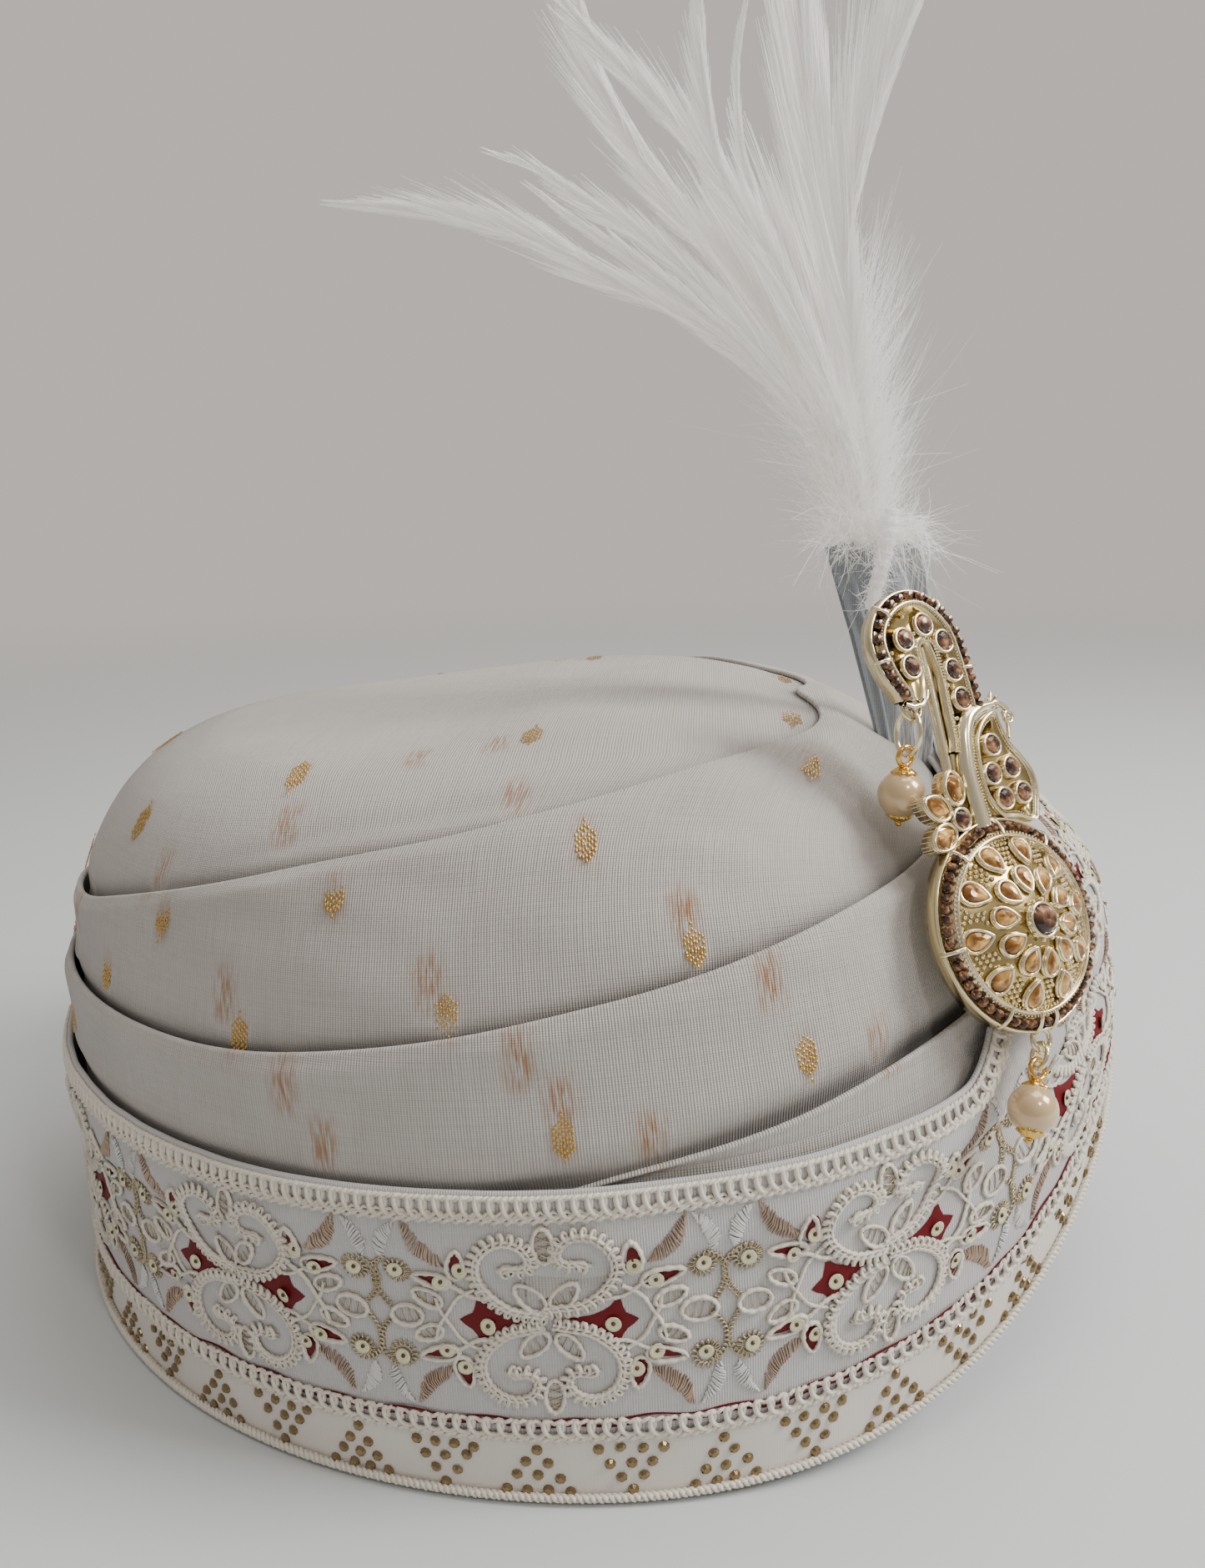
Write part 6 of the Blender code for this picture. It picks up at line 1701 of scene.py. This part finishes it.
def build_sleeve_strip(depth, edges, fold, seed):
    """Upright strip of stiff cloth with soft lengthwise folds, both faces of it."""
    rows, columns = 40, 25
    table = np.array(edges)
    height = np.linspace(-6.0, SLEEVE_HEIGHT, rows)
    left, right = (np.interp(height, table[:, 0], table[:, k]) for k in (1, 2))
    share = np.linspace(0.0, 1.0, columns)
    x = left[:, None] + (right - left)[:, None] * share
    dice = np.random.default_rng(seed)
    a, b, c = dice.uniform(0.0, 6.0, 3)
    wave = np.sin(share * 9.0 + a) * 0.4 + np.sin(share * 17.0 + b) * 0.25
    y = depth + fold * (wave + 0.25 * np.sin(height[:, None] * 0.12 + c) * np.ones_like(share))
    top = np.sin(share * 11.0 + a) * 0.5 + 0.9 * share
    z = height[:, None] + top * smooth((height[:, None] - 30.0) / 17.0)
    front = np.stack([x, y + 0.18, z], axis=-1)
    back = np.stack([x, y - 0.18, z], axis=-1)
    grid = np.concatenate([front, back[:, ::-1]], axis=1)
    uv = np.stack([grid[..., 0], grid[..., 2]], axis=-1) * MM
    # the tint: paler towards the strip's right edge and its top, where the sleeve's second colour is mixed in
    light = 0.8 * smooth((grid[..., 0] + 4.0) / 6.0) + 0.12 * smooth((grid[..., 2] - 34.0) / 14.0)
    return on_stand(grid).reshape(-1, 3), grid_quads(rows, 2 * columns, False, True), uv, light


def show(piece, slot, *nodes):
    """Attach a piece to the root body, which it rides on, and hide the CAD parts that it replaces; its slot is not
    used.
    """
    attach(piece, "root")
    if nodes:
        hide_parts(*nodes)
    return piece


# Floor, light and camera


def build_stage():
    """Pale floor that fades into the studio away from the turban, and large soft lights."""
    count = 96
    turn = ring_grid(count)
    radii = np.array([0.001, 0.4, 2.0, 12.0])[:, None]
    points = np.stack([radii * np.cos(turn), radii * np.sin(turn), np.zeros((4, count))], axis=-1)
    material = new_material("floor", (0.62, 0.65, 0.66), 0.9)
    shader = material.node_tree.nodes["Principled BSDF"]
    where = add_node(material, "ShaderNodeTexCoord").outputs["Object"]
    away = add_node(material, "ShaderNodeVectorMath", [(where, 0)], operation="LENGTH").outputs["Value"]
    fade = add_node(material, "ShaderNodeMapRange", [(away, "Value")], interpolation_type="SMOOTHSTEP")
    fade.inputs["From Min"].default_value = 0.30
    fade.inputs["From Max"].default_value = 1.7
    clear = add_node(material, "ShaderNodeBsdfTransparent")
    both = add_node(material, "ShaderNodeMixShader", [(fade.outputs[0], 0), (shader.outputs[0], 1), (clear.outputs[0], 2)])
    material.node_tree.links.new(both.outputs[0], material.node_tree.nodes["Material Output"].inputs["Surface"])
    floor = mesh_object("floor", points, grid_quads(4, count, False, True), material)
    world = bpy.data.worlds.new("studio")
    world.use_nodes = True
    where = add_node(world, "ShaderNodeTexCoord").outputs["Generated"]
    bright = add_node(world, "ShaderNodeVectorMath", [(where, 0)], operation="DOT_PRODUCT")
    bright.inputs[1].default_value = (0.70, -0.35, 0.62)
    share = add_node(world, "ShaderNodeMapRange", [(bright.outputs["Value"], "Value")], interpolation_type="SMOOTHSTEP")
    share.inputs["From Min"].default_value = -0.45
    share.inputs["From Max"].default_value = 0.45
    colour = mix_colour(world, share.outputs[0], (0.37, 0.345, 0.32), (0.60, 0.56, 0.52))
    world.node_tree.links.new(colour, world.node_tree.nodes["Background"].inputs["Color"])
    bpy.context.scene.world = world
    lights = (
        ("top", (0.15, -0.30, 1.15), (0.7, 0.7), 5.0),
        ("window", (-0.12, -0.98, 0.88), (0.45, 0.45), 14.5),
        ("spark", (-0.62, -0.42, 0.80), (0.12, 0.12), 1.4),
    )
    for name, place, size, power in lights:
        lamp = bpy.data.lights.new(name, "AREA")
        lamp.shape = "RECTANGLE"
        lamp.size, lamp.size_y = size
        lamp.energy = power
        lamp.color = (1.0, 0.985, 0.96)
        holder = bpy.data.objects.new(name, lamp)
        holder.location = place
        aim = Vector((0.0, 0.0, 0.08)) - Vector(place)
        holder.rotation_euler = aim.to_track_quat("-Z", "Y").to_euler()
        bpy.context.scene.collection.objects.link(holder)


def build_camera():
    """Camera at the photograph's place: the fitted forward and right directions."""
    forward = Vector((0.9664, 0.0833, -0.2435)).normalized()
    level = Vector((0.0859, -0.9963, 0.0))
    level = (level - forward * level.dot(forward)).normalized()
    upright = level.cross(forward)
    right = (level - upright * 0.021).normalized()
    up = right.cross(forward)
    lens = bpy.data.cameras.new("camera")
    lens.lens = 28.43
    lens.sensor_width = 36.0
    lens.clip_start = 0.01
    camera = bpy.data.objects.new("camera", lens)
    matrix = Matrix((right, up, -forward)).transposed().to_4x4()
    matrix.translation = (-0.30770, -0.03106, 0.18687)
    camera.matrix_world = matrix
    bpy.context.scene.collection.objects.link(camera)
    bpy.context.scene.camera = camera


build_stage()
build_camera()
show(build_crown(), "crown_cloth", "wound_body")
show(build_lining(), "crown_cloth", "wound_body")
show(build_pleat("upper_pleat", UPPER_FOLD, MIDDLE_FOLD, 11, 0.0), "crown_cloth", "pleat_upper")
show(build_pleat("middle_pleat", MIDDLE_FOLD, LOWER_FOLD, 15, 1.0), "crown_cloth", "pleat_middle")
show(build_lower_pleat("lower_pleat_right", 1.0), "crown_cloth", "pleat_lower_right")
show(build_lower_pleat("lower_pleat_left", -1.0), "crown_cloth", "pleat_lower_left")
show(build_border(), "embroidered_cloth", "border_band", "front_wrap")


def build_border_work():
    """All that is sewn or glued on the border, each kind of thread one piece."""
    spiral = [two for two in build_spirals()]
    gold = [
        build_thread(mirrored(across_stitches(WAIST_PETAL, 4, 0.5)), 51, 0.12, 0.3, 0.15),
        build_thread(mirrored(across_stitches(BUD, 4, 0.5)), 52, 0.12, 0.3, 0.15),
    ]
    cluster = [mirrored(across_stitches(shape, 4, 0.4))[: 8] for shape in CLUSTER]
    rose = mirrored(satin(SATIN_LEAF, 1.6, 21, 0.7))
    white = mirrored(satin(WHITE_LEAF, 1.3, 19, -0.5))
    discs, beads = build_sequins()
    kinds = (
        ("scrolls", build_scrolls(), IVORY),
        ("cords", build_cords(), IVORY),
        ("maroon", build_maroon(), MAROON),
        ("gold_spirals", spiral + gold + [build_thread(np.concatenate(cluster), 53, 0.1, 0.26, 0.13)], GOLD_THREAD),
        ("rose_leaves", [build_thread(rose, 54, 0.05, 0.62, 0.21)], ROSE_GOLD),
        ("white_leaves", [build_thread(white, 55, 0.08, 0.4, 0.24)], WHITE_THREAD),
        ("sequins", [discs], SEQUIN),
        ("sequin_beads", [beads], BEAD),
    )
    for name, parts, material in kinds:
        show(mesh_object(name, *gather(parts), material), "embroidered_cloth")


def build_trimmings():
    """Satin strip, stones, both laces with the red thread behind, and the piping."""
    around = ring_grid(1600)
    around = np.concatenate([around, around[:1] + 2.0 * math.pi])
    top = wrap_top(around)
    upper = ribbon(around, top, border_lift(around, top) + border_waves(around, top))
    level = np.full_like(around, up_at(18.1 * MM))
    lower = ribbon(around, level, border_lift(around, level) + border_waves(around, level) + 0.2 * MM)
    foot = np.full_like(around, up_at(1.45 * MM))
    rim = ribbon(around, foot, np.full_like(around, 1.05 * MM))
    show(build_strip(), "embroidered_cloth")
    show(mesh_object("upper_lace", *build_lace(upper, 5.0 * MM, 2.5 * MM, True), IVORY), "lace", "lace_upper")
    show(mesh_object("lower_lace", *build_lace(lower, 4.6 * MM, 2.8 * MM, False), IVORY), "lace", "lace_lower")
    at = np.arange(900) / 900 * lower[3][-1]
    slack = 0.30 * MM * np.sin(at * 410.0) + 0.26 * MM * np.sin(at * 133.0)
    dip = 0.16 * MM * np.sin(at * 61.0) + 0.12 * MM * np.sin(at * 173.0)
    red = [ribbon_wire(lower, at, across * MM + slack, dip, 0.22 * MM, 3) for across in (0.3, 1.7)]
    show(mesh_object("red_thread", *gather(red), MAROON), "embroidered_cloth")
    show(mesh_object("piping", *build_piping(rim), IVORY), "lace", "rim_cord")
    cut = ((1.12 * MM, 0.0), (1.06 * MM, 0.30 * MM), (0.60 * MM, 0.72 * MM), (0.02 * MM, 0.76 * MM))
    stones = place_rounds(stone_spots(), cut, 9, 0.25 * MM, 4)
    show(mesh_object("rim_stones", *stones, RIM_STONE, flat=True), "embroidered_cloth")


build_trimmings()
build_border_work()
show(mesh_object("sprigs", *build_sprigs(), SPRIG_GOLD), "crown_cloth")


def build_ornament():
    """Brooch, drops, sleeve and plume, each kind of material one piece."""
    stones = ["centre_stone", "flower_stone_3"]
    stones += [f"hook_stone_{k}" for k in range(6)] + [f"wing_stone_{k}" for k in range(5)]
    teardrops = [f"{ring}_stone_{k}" for ring in ("inner", "outer") for k in range(10)]
    teardrops += [f"flower_stone_{k}" for k in range(3)]
    verts, quads, uv, tint = build_metal()
    show(mesh_object("brooch", verts, quads, PALE_GOLD, uv, tint), "pale_gold", "brooch_frame")
    verts, quads, uv, tint = build_brown()
    brown = mesh_object("brown_stones", verts, quads, BROWN_STONE, uv, tint, True)
    show(brown, "brown_stone", "halo_stones", "hook_halo_stones", *stones)
    verts, quads, uv, tint = build_amber()
    show(mesh_object("amber_stones", verts, quads, AMBER_STONE, uv, tint, True), "amber_stone", *teardrops)
    rings, pins, pearls = build_drops()
    show(mesh_object("drop_rings", *rings, PALE_GOLD), "pale_gold", "jump_ring_upper", "jump_ring_lower")
    show(mesh_object("drop_pins", *pins, BRIGHT_GOLD), "bright_gold", "pearl_pin_upper", "pearl_pin_lower")
    show(mesh_object("pearls", *pearls, PEARL_COAT), "pearl", "pearl_upper", "pearl_lower")
    show(mesh_object("feathers", *build_plume(), FEATHER), "feather", "plume")
    for index, (name, depth, edges, fold) in enumerate(STRIPS):
        verts, quads, uv, tint = build_sleeve_strip(depth, edges, fold, 60 + index)
        show(mesh_object(name, verts, quads, SLEEVE, uv, tint), "sleeve_cloth", "plume_sleeve")


build_ornament()


def declare_sheets():
    """Names of the sewn pieces, put in a list that nothing reads.

    A ring of cloth is cut as a strip as long as it is round; the crown, the border
    and the lining aren't cut square. The sleeve's two wider strips are cut twice
    their width and folded double; the narrow one is single.
    """
    sewn = "scrolls cords maroon gold_spirals rose_leaves white_leaves sequins sequin_beads"
    sewn = sewn.split() + ["upper_lace", "lower_lace", "red_thread", "piping"]


declare_sheets()
